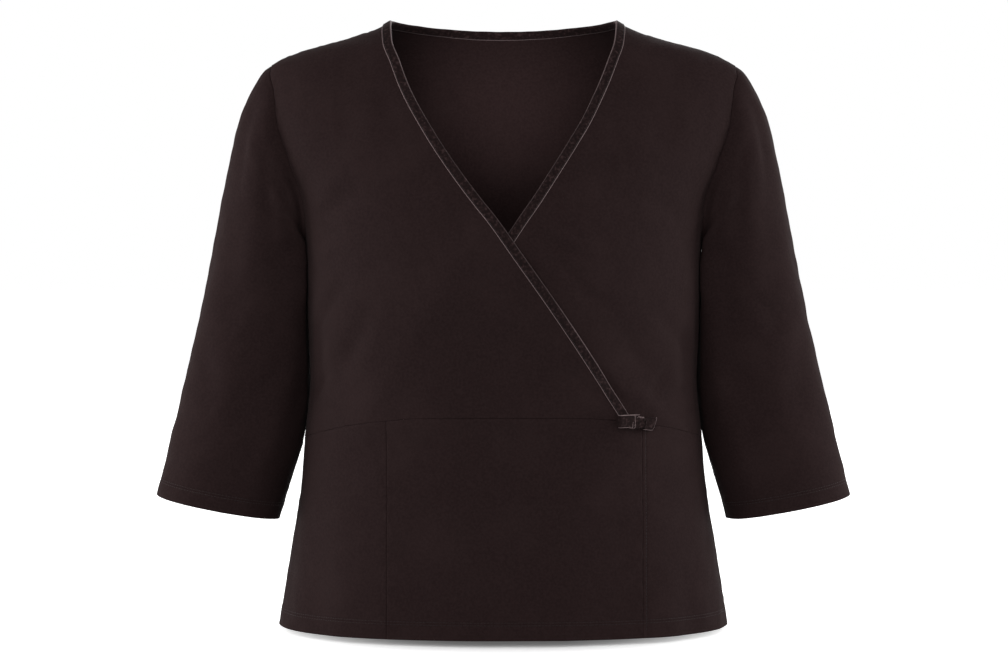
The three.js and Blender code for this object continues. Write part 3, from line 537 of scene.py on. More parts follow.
def colour(red, green, blue):
    """A colour as it is read from a screen, from 0 to 255, as the linear one that shaders use."""
    shares = [value / 255 for value in (red, green, blue)]
    linear = [v / 12.92 if v <= 0.04045 else ((v + 0.055) / 1.055) ** 2.4 for v in shares]
    return (*linear, 1)


def finish_of(name, paint, **constants):
    """A material. The constants go on its shader, and paint returns the shades that vary."""
    material = bpy.data.materials.new(name)
    material.use_nodes = True
    tree = material.node_tree
    shader = tree.nodes["Principled BSDF"]
    for socket, value in constants.items():
        shader.inputs[socket.replace("_", " ")].default_value = value
    for socket, shade in paint(Shade(tree)).items():
        tree.links.new(shade.socket, shader.inputs[socket])
    return material


WALES_PER_METRE = 1150
COURSES_PER_METRE = 1450
STITCH_DRIFT = 90
YARN_MOTTLE = 420
WORN_CLOUDS = 16
JERSEY = colour(43, 30.5, 30.5)
JERSEY_DEEP = colour(37.5, 26, 26)
JERSEY_WORN = colour(49, 36, 35.6)


def jersey_paint(shade):
    """Fine plain knit: columns of stitches, a little uneven, in mottled brown yarn."""
    cloth = shade.node("ShaderNodeUVMap", {"uv_map": "grain"}, {})
    place = shade.place()
    across = shade.part(cloth, 0)
    down = shade.part(cloth, 1)
    drift = shade.noise(place, STITCH_DRIFT, 2)
    wales = shade.math("SINE", across * (2 * math.pi * WALES_PER_METRE) + drift * 3)
    courses = shade.math("SINE", down * (2 * math.pi * COURSES_PER_METRE) + drift * 2)
    stitch = wales * 0.6 + courses * 0.4
    mottle = shade.noise(place, YARN_MOTTLE, 4)
    cloud = shade.noise(place, WORN_CLOUDS, 3)
    yarn = shade.between(mottle + stitch * 0.05, 0.3, 0.72)
    wear = shade.between(cloud, 0.42, 0.72) * 0.35
    base = shade.blend(yarn, JERSEY_DEEP, JERSEY)
    tone = shade.blend(wear + yarn * 0.15, base, JERSEY_WORN)
    height = stitch * 0.5 + mottle * 0.8
    bump = shade.node("ShaderNodeBump", {}, {"Strength": 0.35, "Distance": 0.0002, "Height": height})
    rough = 0.9 - mottle * 0.12
    return {"Base Color": tone, "Roughness": rough, "Normal": bump}


jersey = finish_of(
    "plain_jersey",
    jersey_paint,
    Specular_IOR_Level=0.05,
    Sheen_Weight=0.015,
    Sheen_Roughness=0.45,
    Sheen_Tint=(1, 0.86, 0.84, 1),
)


def back_bodice():
    left, stops, underarm = bodice_side(-1, 1)
    right, _, _ = bodice_side(1, 1)
    angle = np.linspace(0, math.pi, 240)
    waist_z = SIDE_WAIST_Z + WAIST_GAP
    half_waist = body_width(waist_z)
    waist_line = points(-half_waist * np.cos(angle), body_back(waist_z) * np.sin(angle), waist_z)
    bottom, _ = along(press(waist_line))
    tip = body_width(SHOULDER_TIP_Z)
    neck = body_width(0)
    slope = shoulder_point(np.linspace(-tip, -neck, 120))
    neckline = back_neck_point(np.linspace(0, 1, 240))
    top, whole = along(np.concatenate([slope, neckline[1:], (slope * (-1, 1, 1))[-2::-1]]))
    corner = along(slope)[1] / whole
    half_columns = cuts(corner * whole, end=False) * corner
    middle = np.linspace(corner, 1 - corner, 2 + round(whole * (1 - 2 * corner) / CLOTH_STEP))
    columns = np.concatenate([half_columns, middle[1:-1], 1 - half_columns[::-1]])
    u, v = np.meshgrid(columns, stops)
    surface = patch(left, right, bottom, top, True)(u, v)
    side_rows = stops <= underarm + 1e-6
    surface[side_rows, 0, 1] += SEAM_GAP
    surface[side_rows, -1, 1] += SEAM_GAP
    on_shoulder = (columns <= corner) | (columns >= 1 - corner)
    surface[-1, on_shoulder, 1] += SEAM_GAP
    out = outward(surface)
    seams = beside(surface, ["first_column", "last_column"])
    waist = beside(surface, ["first_row"])
    seams[:, on_shoulder] = np.minimum(seams, beside(surface, ["last_row"]))[:, on_shoulder]
    outer = surface + out * (body_drape(surface) + seam_pull(surface, seams, waist))[..., None]
    return outer, outer - out * CLOTH, body_grain(surface)


back = shell("back_bodice_cloth", *back_bodice())
back.data.materials.append(jersey)
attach(back, "root")
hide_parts("back_bodice")

# The two fronts are cut alike from jersey, each from its side seam and armhole to a long slanting neck
# edge. The wearer's left front lies underneath and runs across to the other side of the waist seam.
UNDER_EDGE = table(
    "z x",
    (-410.3, -111.2),
    (-208, 15.1),
    (-188, 29.1),
    (-167.8, 42.2),
    (-127.2, 67.9),
    (-106.7, 80.2),
    (-85.9, 90.7),
    (-65, 100.3),
    (-43.9, 108.6),
    (-22.5, 116.1),
    (0, 119),
)
WAIST = table(
    "x z",
    (0, -407),
    (85, -408),
    (117, -411),
    (161, -418),
    (188, -425.5),
    (203, -431.5),
    (208.4, SIDE_WAIST_Z),
)
MEAN_WIDTH = 0.6  # a front's width halfway up, as a share of its waist seam
under_edge_x = curve(UNDER_EDGE, "z", "x")
front_waist = curve(WAIST, "x", "z")


def no_lift(p):
    return np.zeros(p.shape[:-1])


def front(side, edge_x, rows, lift):
    """A front, from its side seam and armhole to its neck edge."""
    end = rows[0]
    left, stops, underarm = bodice_side(side, -1)
    edge_z = np.linspace(end["z"] + WAIST_GAP, 0, 300)
    right, _ = along(seen_at(edge_x(edge_z), edge_z, -1))
    waist_x = np.linspace(side * body_width(SIDE_WAIST_Z), end["x"], 200)
    bottom, waist_length = along(seen_at(waist_x, front_waist(np.abs(waist_x)) + WAIST_GAP, -1))
    tip = side * body_width(SHOULDER_TIP_Z)
    top, _ = along(shoulder_point(np.linspace(tip, side * body_width(0), 120)))
    u, v = np.meshgrid(cuts(MEAN_WIDTH * waist_length, end=False), stops)
    surface = patch(left, right, bottom, top, False)(u, v)
    surface[stops <= underarm + 1e-6, 0, 1] -= SEAM_GAP
    surface[-1, :, 1] -= SEAM_GAP
    out = outward(surface)
    seams = beside(surface, ["first_column", "last_row"])
    waist = beside(surface, ["first_row"])
    rise = lift(surface) + body_drape(surface) + seam_pull(surface, seams, waist)
    outer = surface + out * rise[..., None]
    return outer, outer - out * CLOTH, body_grain(surface)


under = shell("under_front_cloth", *front(1, under_edge_x, UNDER_EDGE, no_lift))
under.data.materials.append(jersey)
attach(under, "root")
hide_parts("under_front")

# The wearer's right front crosses over the left one and ends under the bow. It rides over the cloth and
# the ribbon beneath it, and over the inner half of the ribbon on its own edge.
OVER_EDGE = table(
    "z x",
    (-412.4, 128.4),
    (-369, 102.1),
    (-328.7, 76.8),
    (-288.3, 49.6),
    (-248, 21.4),
    (-208, -7.3),
    (-188, -22.9),
    (-167.8, -38.3),
    (-127.2, -66.3),
    (-106.7, -78.8),
    (-85.9, -90.8),
    (-65, -100.5),
    (-43.9, -108.4),
    (-22.5, -116.7),
    (0, -119),
)
PLY_LIFT = 1.7
RIBBON_LIFT = 1.3
# Spans of the lift's fades, from the under front's neck edge and in from the over front's own.
CROSSING_FADE = (-62, -20)
RIBBON_FADE_IN = (-50, -20)
RIBBON_FADE_OUT = (32, 62)
OWN_RIBBON_FADE = (12, 36)
OVER_SLANT = 0.64
EDGE_SLANT = math.cos(math.atan(OVER_SLANT))
over_edge_x = curve(OVER_EDGE, "z", "x")


def over_lift(p):
    """How far the over front stands out over what lies under it, fading in and out over its width."""
    x, y, z = np.moveaxis(p, -1, 0)
    past_under_edge = (x - under_edge_x(z)) * EDGE_SLANT
    inside_over_edge = (over_edge_x(z) - x) * EDGE_SLANT
    crossed = smooth(*CROSSING_FADE, past_under_edge)
    past_ribbon = smooth(*RIBBON_FADE_OUT, past_under_edge)
    on_under_ribbon = smooth(*RIBBON_FADE_IN, past_under_edge) * (1 - past_ribbon)
    on_own_ribbon = crossed * (1 - smooth(*OWN_RIBBON_FADE, inside_over_edge))
    lift = PLY_LIFT * crossed + RIBBON_LIFT * (on_under_ribbon + on_own_ribbon)
    return np.where(y > 0, 0, lift)


over = shell("over_front_cloth", *front(-1, over_edge_x, OVER_EDGE, over_lift))
over.data.materials.append(jersey)
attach(over, "root")
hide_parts("over_front")

# The peplum is four flared panels of jersey, seamed to the bodice. Its hem is turned up inside and held
# by two rows of stitches, and a row of stitches beside the seam below the bow holds that seam flat.
HEM_DEPTH = 20
HEM_ROWS = np.array(
    [0, 0.12, 0.35, 0.75, 1.3, 2.2, 3.6, 5.4, 7.6, 9.8, 11.8, 13.4, 14.6, 15.3, 16, 16.7, 17.4]
    + [18.1, 18.8, 19.5, 20.2, 21.1, 22.6]
)
TWIN_ROWS = (16, 18.8)
FOLD_FULLNESS = 0.97
STITCHED_DIP = 0.28
DIP_WIDTH = 0.8
HEM_EASE = 0.35
HEM_STEP = 0.25
LEFT_PANEL_SEAM_X = -118
RIGHT_PANEL_SEAM_X = 141
PAST_SIDE = 300
BACK_WIDTH = 560
SIDE_PANEL_WIDTH = 140
PANEL_LENGTH = 180
LAP_FADE = 34
BESIDE_BOW = 8
SEAM_STITCH_INSET = 4.2
GROOVE_WIDTH = 0.7
GROOVE_DEPTH = 0.5


def hem_form(distance, wave):
    """How a turned-up hem moves the cloth's outer face, and how thick the cloth is there."""
    thickness = CLOTH * (1 + 1 - smooth(HEM_DEPTH - 0.4, HEM_DEPTH + 0.8, distance))
    fold = FOLD_FULLNESS * thickness / 2
    recess = fold * (1 - np.sqrt(1 - np.clip(1 - distance / fold, 0, 1) ** 2))
    stitched = sum(np.exp(-(((distance - row) / DIP_WIDTH) ** 2)) for row in TWIN_ROWS)
    ease = HEM_EASE * wave * (1 - smooth(4, 34, distance))
    step = HEM_STEP * smooth(HEM_DEPTH + 2, HEM_DEPTH - 1, distance)
    return step + ease - STITCHED_DIP * stitched - recess, thickness - 2 * recess


def peplum(start, end, half):
    """A panel between two seams, given by where they are seen, down to its hem."""
    reach = abs(min(end, PAST_SIDE) - max(start, -PAST_SIDE))
    if abs(start) == PAST_SIDE and abs(end) == PAST_SIDE:
        reach = BACK_WIDTH
    elif PAST_SIDE in (abs(start), abs(end)):
        reach = SIDE_PANEL_WIDTH
    shares = cuts(reach)

    def across(z):
        """Where each column of the panel is seen at a height."""
        first = np.arccos(np.clip(start / body_width(z), -1, 1))
        last = np.arccos(np.clip(end / body_width(z), -1, 1))
        return body_width(z) * np.cos(first + (last - first) * shares)

    top_z = np.full(len(shares), float(SIDE_WAIST_Z))
    if half < 0:
        for _ in range(4):
            top_z = front_waist(np.abs(across(top_z)))
    hem_z = HEM_Z + HEM_ROWS
    climb = cuts(PANEL_LENGTH, start=False)[1:]
    z = np.concatenate(
        [
            np.repeat(hem_z[:, None], len(shares), axis=1),
            hem_z[-1] + climb[:, None] * (top_z - WAIST_GAP - hem_z[-1]),
        ]
    )
    surface = seen_at(across(z), z, half)
    for column, x in ((0, start), (-1, end)):
        if abs(x) == PAST_SIDE:
            surface[:, column, 1] = half * SEAM_GAP
        else:
            surface[:, column, 0] += SEAM_GAP * (1 if column == 0 else -1)
    out = outward(surface)
    seams = beside(surface, ["first_column", "last_column"])
    pull = seam_pull(surface, seams, beside(surface, ["last_row"]))
    hem, thickness = hem_form(run_down(surface), ripple(surface, 30, 11))
    rise = body_drape(surface) + pull + hem
    if half < 0:
        # The top of the peplum is sewn to both fronts where they lie on each other, so it stands out too.
        end_x = OVER_EDGE[0]["x"]
        beside_bow = 1 - smooth(end_x - BESIDE_BOW, end_x + BESIDE_BOW, surface[..., 0])
        below_waist = beside(surface, ["last_row"])
        rise += over_lift(surface) * beside_bow * (1 - smooth(0, LAP_FADE, below_waist))
    if start == RIGHT_PANEL_SEAM_X:
        from_seam = (beside(surface, ["first_column"]) - SEAM_STITCH_INSET) / GROOVE_WIDTH
        rise -= GROOVE_DEPTH * np.exp(-(from_seam**2))
    outer = surface + out * rise[..., None]
    return outer, outer - out * thickness[..., None], body_grain(surface)


PEPLUM = table(
    "node start end half width length area held_up_by",
    ("peplum_front", LEFT_PANEL_SEAM_X, RIGHT_PANEL_SEAM_X, -1, 0.30, 0.26, 0.067, over),
    ("peplum_side_right", -PAST_SIDE, LEFT_PANEL_SEAM_X, -1, 0.17, 0.24, 0.033, over),
    ("peplum_side_left", RIGHT_PANEL_SEAM_X, PAST_SIDE, -1, 0.15, 0.24, 0.028, under),
    ("peplum_back", -PAST_SIDE, PAST_SIDE, 1, 0.66, 0.24, 0.128, back),
)
peplum_faces = {}
for panel in PEPLUM:
    node = panel["node"]
    grids = peplum(panel["start"], panel["end"], panel["half"])
    peplum_faces[node] = grids[0]
    piece = shell(node + "_cloth", *grids)
    piece.data.materials.append(jersey)
    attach(piece, "root")
    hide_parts(node)

THREAD = 0.2
STITCH = 2.7
STITCH_GAP = 0.7
STITCH_ARCH = np.array([-0.9, 0.45, 0.75, 0.45, -0.9])  # heights along a stitch, in thread radii
THREAD_SIDES = 6
THREAD_FIBRES = 2600
THREAD_BROWN = colour(37, 26, 26)
THREAD_DARK = colour(22, 15, 15)


def thread_paint(shade):
    """Spun sewing thread, mottled darker and lighter along its fibres."""
    place = shade.place()
    fibre = shade.noise(place, THREAD_FIBRES, 2)
    return {
        "Base Color": shade.blend(shade.between(fibre, 0.35, 0.65), THREAD_DARK, THREAD_BROWN),
        "Roughness": 0.5 + fibre * 0.3,
    }


thread_finish = finish_of("sewing_thread", thread_paint, Specular_IOR_Level=0.25, Sheen_Weight=0.08)


def stitches(name, runs):
    """Rows of straight stitches, each dipping into the cloth at both ends, joined in one mesh."""
    vertices = []
    faces = []
    sides = THREAD_SIDES
    rings = len(STITCH_ARCH)
    for line, normals in runs:
        path, length = along(line)
        count = max(1, int(length / (STITCH + STITCH_GAP)))
        run = np.concatenate([[0], np.cumsum(np.linalg.norm(np.diff(line, axis=0), axis=1))])
        starts = (np.arange(count) + 0.5) * length / count
        spans = np.linspace(-0.5, 0.5, rings) * STITCH
        at = starts[:, None] + spans
        centre = path(at / length)
        out = unit(np.stack([np.interp(at, run, normals[:, axis]) for axis in range(3)], axis=-1))
        way = unit(centre[:, -1] - centre[:, 0])[:, None]
        aside = unit(np.cross(way, out))
        arch = STITCH_ARCH * THREAD
        centre = centre + out * arch[None, :, None]
        turn = np.arange(sides) * 2 * math.pi / sides
        ring = np.cos(turn)[:, None] * out[:, :, None] + np.sin(turn)[:, None] * aside[:, :, None]
        tube = centre[:, :, None] + THREAD * ring
        base = sum(len(block) for block in vertices)
        vertices.append(tube.reshape(-1, 3))
        counts = (np.arange(count), np.arange(rings - 1), np.arange(sides))
        stitch, step, corner = np.meshgrid(*counts, indexing="ij")
        start = base + (stitch * rings + step) * sides
        beyond = (corner + 1) % sides
        further = start + sides
        quads = np.stack([start + corner, further + corner, further + beyond, start + beyond], axis=-1)
        faces.extend(quads.reshape(-1, 4).tolist())
        for first, order in ((0, 1), (rings - 1, -1)):
            cap = base + (np.arange(count)[:, None] * rings + first) * sides + np.arange(sides)[::order]
            faces.extend(cap.tolist())
    piece = add_piece(name, np.concatenate(vertices), faces)
    piece.data.materials.append(thread_finish)
    return piece


def normals_of(grid, ring=False):
    """The normals of a grid of points, away from the body's middle."""
    across = np.roll(grid, -1, axis=1) - np.roll(grid, 1, axis=1)
    if not ring:
        across = np.gradient(grid, axis=1)
    return unit(np.cross(across, np.gradient(grid, axis=0)))


def hem_lines(grid, normals, distances):
    """Lines on a grid at even distances from its first row."""
    run = run_down(grid)
    for distance in distances:
        ends = []
        for values in (grid, normals):
            columns = [
                [np.interp(distance, run[:, k], values[:, k, axis]) for axis in range(3)]
                for k in range(grid.shape[1])
            ]
            ends.append(np.array(columns))
        yield tuple(ends)


hem_runs = []
for grid in peplum_faces.values():
    hem_runs += list(hem_lines(grid, outward(grid), TWIN_ROWS))
hem_stitches = stitches("hem_stitches", hem_runs)
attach(hem_stitches, "root")

ABOVE_HEM_FOLD = 8
BELOW_WAIST = -4
from_seam = np.swapaxes(peplum_faces["peplum_side_left"], 0, 1)
line, normal = next(hem_lines(from_seam, outward(from_seam), (SEAM_STITCH_INSET,)))
seam_run = (line[ABOVE_HEM_FOLD:BELOW_WAIST], normal[ABOVE_HEM_FOLD:BELOW_WAIST])
seam_stitches = stitches("peplum_seam_stitches", [seam_run])
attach(seam_stitches, "root")

# The sleeves are set in to the armholes and flare to three-quarter length. Each is one piece of jersey
# closed by a seam under the arm, hemmed like the peplum.
SLEEVE = table(
    "along out_x out_z in_x in_z front back y",
    (0, 243, -47, 207.2, -240, 52, 60, 0),
    (0.6, 250, -52, 208.4, -238.2, 55, 61, 0.5),
    (1.4, 258.3, -63.5, 210.6, -238.6, 58, 62, 1),
    (2.2, 266.8, -79, 211.6, -241.5, 60, 63, 2),
    (3, 275, -98, 211, -245.5, 62, 64, 3),
    (3.9, 281.8, -121, 209, -251, 63, 65, 5),
    (4.9, 288, -149, 206, -259, 64, 65, 7),
    (6, 295, -182, 202, -272, 64, 65, 9),
    (7.2, 303, -222, 199, -292, 63, 64, 11),
    (8.5, 311.5, -264, 197.5, -320, 62, 64, 13),
    (9.9, 320.5, -308.5, 197.5, -353, 62, 63, 14),
    (11.4, 331, -355, 201, -393, 62, 62, 14),
    (12.9, 342, -401, 209.5, -432, 62, 62, 13),
    (14.4, 353.5, -448, 221.5, -474, 62, 62, 12),
    (15.2, 360.8, -477.6, 230.6, -503, 62, 62, 12),
    (15.8, 366, -497, 236.3, -522.4, 62, 62, 12),
)
SLEEVE_FADE = 7
SLEEVE_CLEARANCE = 1.5
CAP_CLEARANCE = 1.3
LAP = 9
LAP_TURN = 141
LAP_WIDTH = 17
SLEEVE_POWER = 2.15
SLEEVE_COLUMNS = 150
CLOSER_AT_ENDS = 0.055  # how much closer the columns stand at the sleeve's top and underarm
SLEEVE_SEAM_HALF = 0.8
SLEEVE_ROUND = 1.1  # millimetres of cloth to a degree round the sleeve
RING_STEP = 31  # millimetres of cloth from one ring number to the next
SLEEVE_FOLDS = table(
    "side turn lean start end width depth",
    (1, 118, -14, 3.2, 14.5, 17, 3.6),
    (1, 152, -6, 8, 15.6, 14, 2.6),
    (1, 62, 10, 4.5, 12.5, 17, 1.8),
    (1, 238, 14, 3.2, 13.5, 19, 3.4),
    (1, 292, -12, 5.5, 14, 18, 2),
    (-1, 112, -9, 3.4, 14, 19, 2.8),
    (-1, 149, -5, 7.2, 15.4, 15, 2.2),
    (-1, 57, 8, 5, 12, 18, 1.8),
    (-1, 243, 10, 3.6, 13, 20, 2.6),
    (-1, 297, -9, 5, 14.4, 18, 1.9),
)
SLEEVE_CREASES = table(
    "turn ring to_turn to_ring bend width depth ridge",
    (34, 1.2, 52, 5.8, 5, 9, 1.0, 0.4),
    (78, 1.6, 96, 6.4, 6, 10, 1.4, 0.4),
    (124, 2.2, 86, 4.8, 5, 8, 1.3, -0.4),
    (140, 3.6, 92, 7.0, 7, 9, 1.2, 0.4),
    (96, 7.4, 44, 10.2, 8, 12, 1.1, 0.4),
    (132, 9.0, 84, 12.4, 9, 12, 1.3, -0.4),
    (30, 9.6, 64, 13.6, 7, 13, 1.1, 0.4),
    (108, 12.2, 100, 15.7, 3, 10, 1.0, 0.5),
    (20, 5.4, 8, 11.0, 6, 14, 1.0, 0.4),
    (322, 1.6, 300, 6.2, 6, 11, 1.2, 0.4),
    (262, 2.0, 246, 6.6, 5, 10, 1.4, -0.4),
    (226, 3.4, 276, 6.2, 7, 9, 1.3, 0.4),
    (250, 8.0, 302, 11.4, 8, 12, 1.2, 0.4),
    (218, 10.0, 262, 13.2, 8, 12, 1.3, 0.4),
    (330, 10.0, 308, 14.0, 6, 13, 1.1, 0.4),
)
ring_at = {
    key: curve(SLEEVE, "along", key) for key in ("out_x", "out_z", "in_x", "in_z", "front", "back", "y")
}


def sleeve_oval(side, t, angle):
    """A sleeve's plain ring. The angle goes from the top round the front."""
    up = np.sign(np.cos(angle)) * np.abs(np.cos(angle)) ** (2 / SLEEVE_POWER)
    forward = np.sign(np.sin(angle)) * np.abs(np.sin(angle)) ** (2 / SLEEVE_POWER)
    share = (1 + up) / 2
    x = ring_at["in_x"](t) + (ring_at["out_x"](t) - ring_at["in_x"](t)) * share
    z = ring_at["in_z"](t) + (ring_at["out_z"](t) - ring_at["in_z"](t)) * share
    reach = np.where(forward > 0, ring_at["front"](t), ring_at["back"](t))
    return points(side * x, ring_at["y"](t) - reach * forward, z)


def into_armhole(side, angle):
    """The way in from the armhole's edge, along the cloth's surface."""
    step = 0.05
    edge = armhole_edge(side, angle)
    way = armhole_edge(side, angle + step) - armhole_edge(side, angle - step)
    into = unit(np.cross(way, outward(edge)))
    middle = (armhole_edge(side, 0) + armhole_edge(side, math.pi)) / 2
    return into * np.sign(dot(into, middle - edge))[..., None]


def sleeve_ring(side, t, angle):
    """A ring of the sleeve: the armhole's own curve at first, and the plain ring further down. It leaves
    its seam away from the body's edge, and stands just clear of the body's side below it, where its
    front laps the side a little."""
    start = armhole_edge(side, angle)
    into = into_armhole(side, angle)
    if t == 0:
        return start + into * 2 * SEAM_GAP
    p = sleeve_oval(side, t, angle)
    p = p + (start - sleeve_oval(side, 0, angle)) * (1 - smooth(0, SLEEVE_FADE, t))
    below = (1 - np.cos(angle)) / 2
    near_underarm = smooth(1.4, 3.4, t) * (1 - smooth(6.5, 9, t))
    lap = LAP * near_underarm * np.exp(-(((np.degrees(angle) - LAP_TURN) / LAP_WIDTH) ** 2))
    p = p - points(side * lap, 0, 0)
    if t < SLEEVE[2]["along"]:
        over_body = CAP_CLEARANCE - dot(p - start, into)
        p = p + into * (np.maximum(0, over_body) * below)[..., None]
    clearance = SLEEVE_CLEARANCE * smooth(0, 1.6 - below, t)
    way = form_slope(p)
    size = np.linalg.norm(way, axis=-1)
    short = np.maximum(0, clearance - (level(p) - 1) / size)
    return p + way * (short / size)[..., None]


def sleeve_drape(side, turn, t, p):
    """How far folds and creases move a sleeve's cloth out, by turn round it and ring number."""
    wave = ripple(p, LONG_WAVE, 21) + 0.5 * ripple(p, SHORT_WAVE, 22)
    total = LEFTOVER_WAVE * wave * smooth(0, 2, t)
    for fold in [fold for fold in SLEEVE_FOLDS if fold["side"] == side]:
        entry = np.clip((t - fold["start"]) / (fold["end"] - fold["start"]), 0, 1)
        across = (turn - fold["turn"] - fold["lean"] * entry) * SLEEVE_ROUND
        total -= fold["depth"] * np.exp(-((across / fold["width"]) ** 2)) * np.sin(math.pi * entry) ** 1.5
    for row in SLEEVE_CREASES:
        across = ((turn - row["turn"] + 180) % 360 - 180) * SLEEVE_ROUND
        to_across = (row["to_turn"] - row["turn"]) * SLEEVE_ROUND
        to_down = (row["to_ring"] - row["ring"]) * RING_STEP
        total += crease(across, (t - row["ring"]) * RING_STEP, to_across, to_down, row)
    return total


def sleeve(side):
    """A sleeve's faces, grain and normals, in rings that are closer together beside its seams and hem."""
    spread = np.linspace(0, 1, SLEEVE_COLUMNS, endpoint=False)
    angle = 2 * math.pi * (spread + CLOSER_AT_ENDS * np.sin(4 * math.pi * spread))
    stops = np.array([row["along"] for row in SLEEVE])
    rings = np.stack([sleeve_ring(side, t, angle) for t in stops])
    step = np.diff(stops)[:, None, None]
    rise = np.diff(rings, axis=0) / step
    slope = np.concatenate(
        [rise[:1], (rise[:-1] * step[1:] + rise[1:] * step[:-1]) / (step[1:] + step[:-1]), rise[-1:]]
    )
    lengths = np.linalg.norm(np.diff(rings, axis=0), axis=-1).mean(axis=1)
    run = np.concatenate([[0], np.cumsum(lengths)])
    whole = run[-1]
    upper = cuts(whole - HEM_ROWS[-1], end=False) * (whole - HEM_ROWS[-1])
    rows = np.concatenate([upper[:-1], whole - HEM_ROWS[::-1]])
    t = np.interp(rows, run, stops)
    i = np.clip(np.searchsorted(stops, t) - 1, 0, len(stops) - 2)
    share = ((t - stops[i]) / np.diff(stops)[i])[:, None, None]
    size = np.diff(stops)[i][:, None, None]
    blend = share**2 * (3 - 2 * share)
    plain = rings[i] * (1 - blend) + rings[i + 1] * blend
    plain += size * share * (1 - share) * (slope[i] * (1 - share) - slope[i + 1] * share)
    out = normals_of(plain, ring=True)
    out *= np.sign(out[len(out) // 2, 0, 0] * side)
    on_edge = (1 - smooth(0, 1.4, t))[:, None]
    edge_out = outward(armhole_edge(side, angle))
    out = unit(mix(out, edge_out[None], on_edge))
    turn = np.degrees(angle)[None, :]
    edge_drape = body_drape(armhole_edge(side, angle))[None, :]
    drape = sleeve_drape(side, turn, t[:, None], plain)
    drape = drape + edge_drape * (1 - smooth(0, 1.5, t))[:, None]
    under_seam = np.abs(turn - 180) * SLEEVE_ROUND + SLEEVE_SEAM_HALF + np.zeros_like(drape)
    pull = seam_pull(plain, np.minimum(beside(plain, ["first_row"]), under_seam), np.inf)
    hem, thickness = hem_form(beside(plain, ["last_row"]), ripple(plain, 30, 12))
    outer = plain + out * (drape + pull + hem)[..., None]
    grain = np.stack(np.broadcast_arrays(turn * SLEEVE_ROUND, -rows[:, None]), axis=-1) * MM
    return outer, outer - out * thickness[..., None], grain, out


cuff_runs = []
for side, node in ((-1, "sleeve_right"), (1, "sleeve_left")):
    outer, inner, grain, out = sleeve(side)
    piece = shell(node + "_cloth", outer, inner, grain, ring=True)
    piece.data.materials.append(jersey)
    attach(piece, "root")
    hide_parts(node)
    closed = np.concatenate([outer, outer[:, :1]], axis=1)[::-1]
    closed_out = np.concatenate([out, out[:, :1]], axis=1)[::-1]
    cuff_runs += list(hem_lines(closed, closed_out, TWIN_ROWS))
cuff_stitches = stitches("cuff_stitches", cuff_runs)
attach(cuff_stitches, "root")

# A narrow velvet ribbon is folded over the whole neck edge, from the bow up the over front, round the back
# neck and down the under front. It has a dark mottled pile between two shiny woven edges, whose lighter
# colour is partly their own and partly painted sheen.
BINDING_WIDTH = 8.4
RIBBON_STEP = 2.2
FOLD_REACH = 1.7
FOLD_ROUND = 1.6
RIBBON_CLEAR = 0.25
SELVEDGE = 0.5
RIBBON_TOP = 1.25
STITCHED_IN = 7
STITCHED_HEIGHT = 1.17
EDGE_IN = 0.3
FOLD_INSIDE = 0.7
# The outer half's top face as seen in a cross cut, from its woven edge to the fold.
LEAF = table(
    "inside height",
    (8.4, 0.25),
    (8.5, 0.5),
    (8.4, 0.74),
    (8.1, 0.86),
    (7.75, 0.74),
    (7.65, 0.62),
    (7.45, 0.95),
    (STITCHED_IN, STITCHED_HEIGHT),
    (5.6, 1.24),
    (4, RIBBON_TOP),
    (2.4, RIBBON_TOP),
    (1.2, 1.22),
    (EDGE_IN, 1.18),
)
# The ends are cut along the waist seam, which the over front's edge and the under front's edge meet aslant.
OVER_END_SLANT = OVER_SLANT
UNDER_END_SLANT = 0.616
END_GAP = 0.5
END_FADE = 40
CORNER_EASE = 5


def ribbon_path():
    """The neck edge on the form by share of its length, its length, and the over front's share of it."""
    over_z = np.linspace(OVER_EDGE[0]["z"] + WAIST_GAP, 0, 500)
    under_z = np.linspace(0, UNDER_EDGE[0]["z"] + WAIST_GAP, 500)
    over_line = seen_at(over_edge_x(over_z), over_z, -1)
    under_line = seen_at(under_edge_x(under_z), under_z, -1)
    neckline = back_neck_point(np.linspace(0, 1, 300))
    path, length = along(np.concatenate([over_line, neckline[1:-1], under_line]))
    return path, length, along(over_line)[1] / length


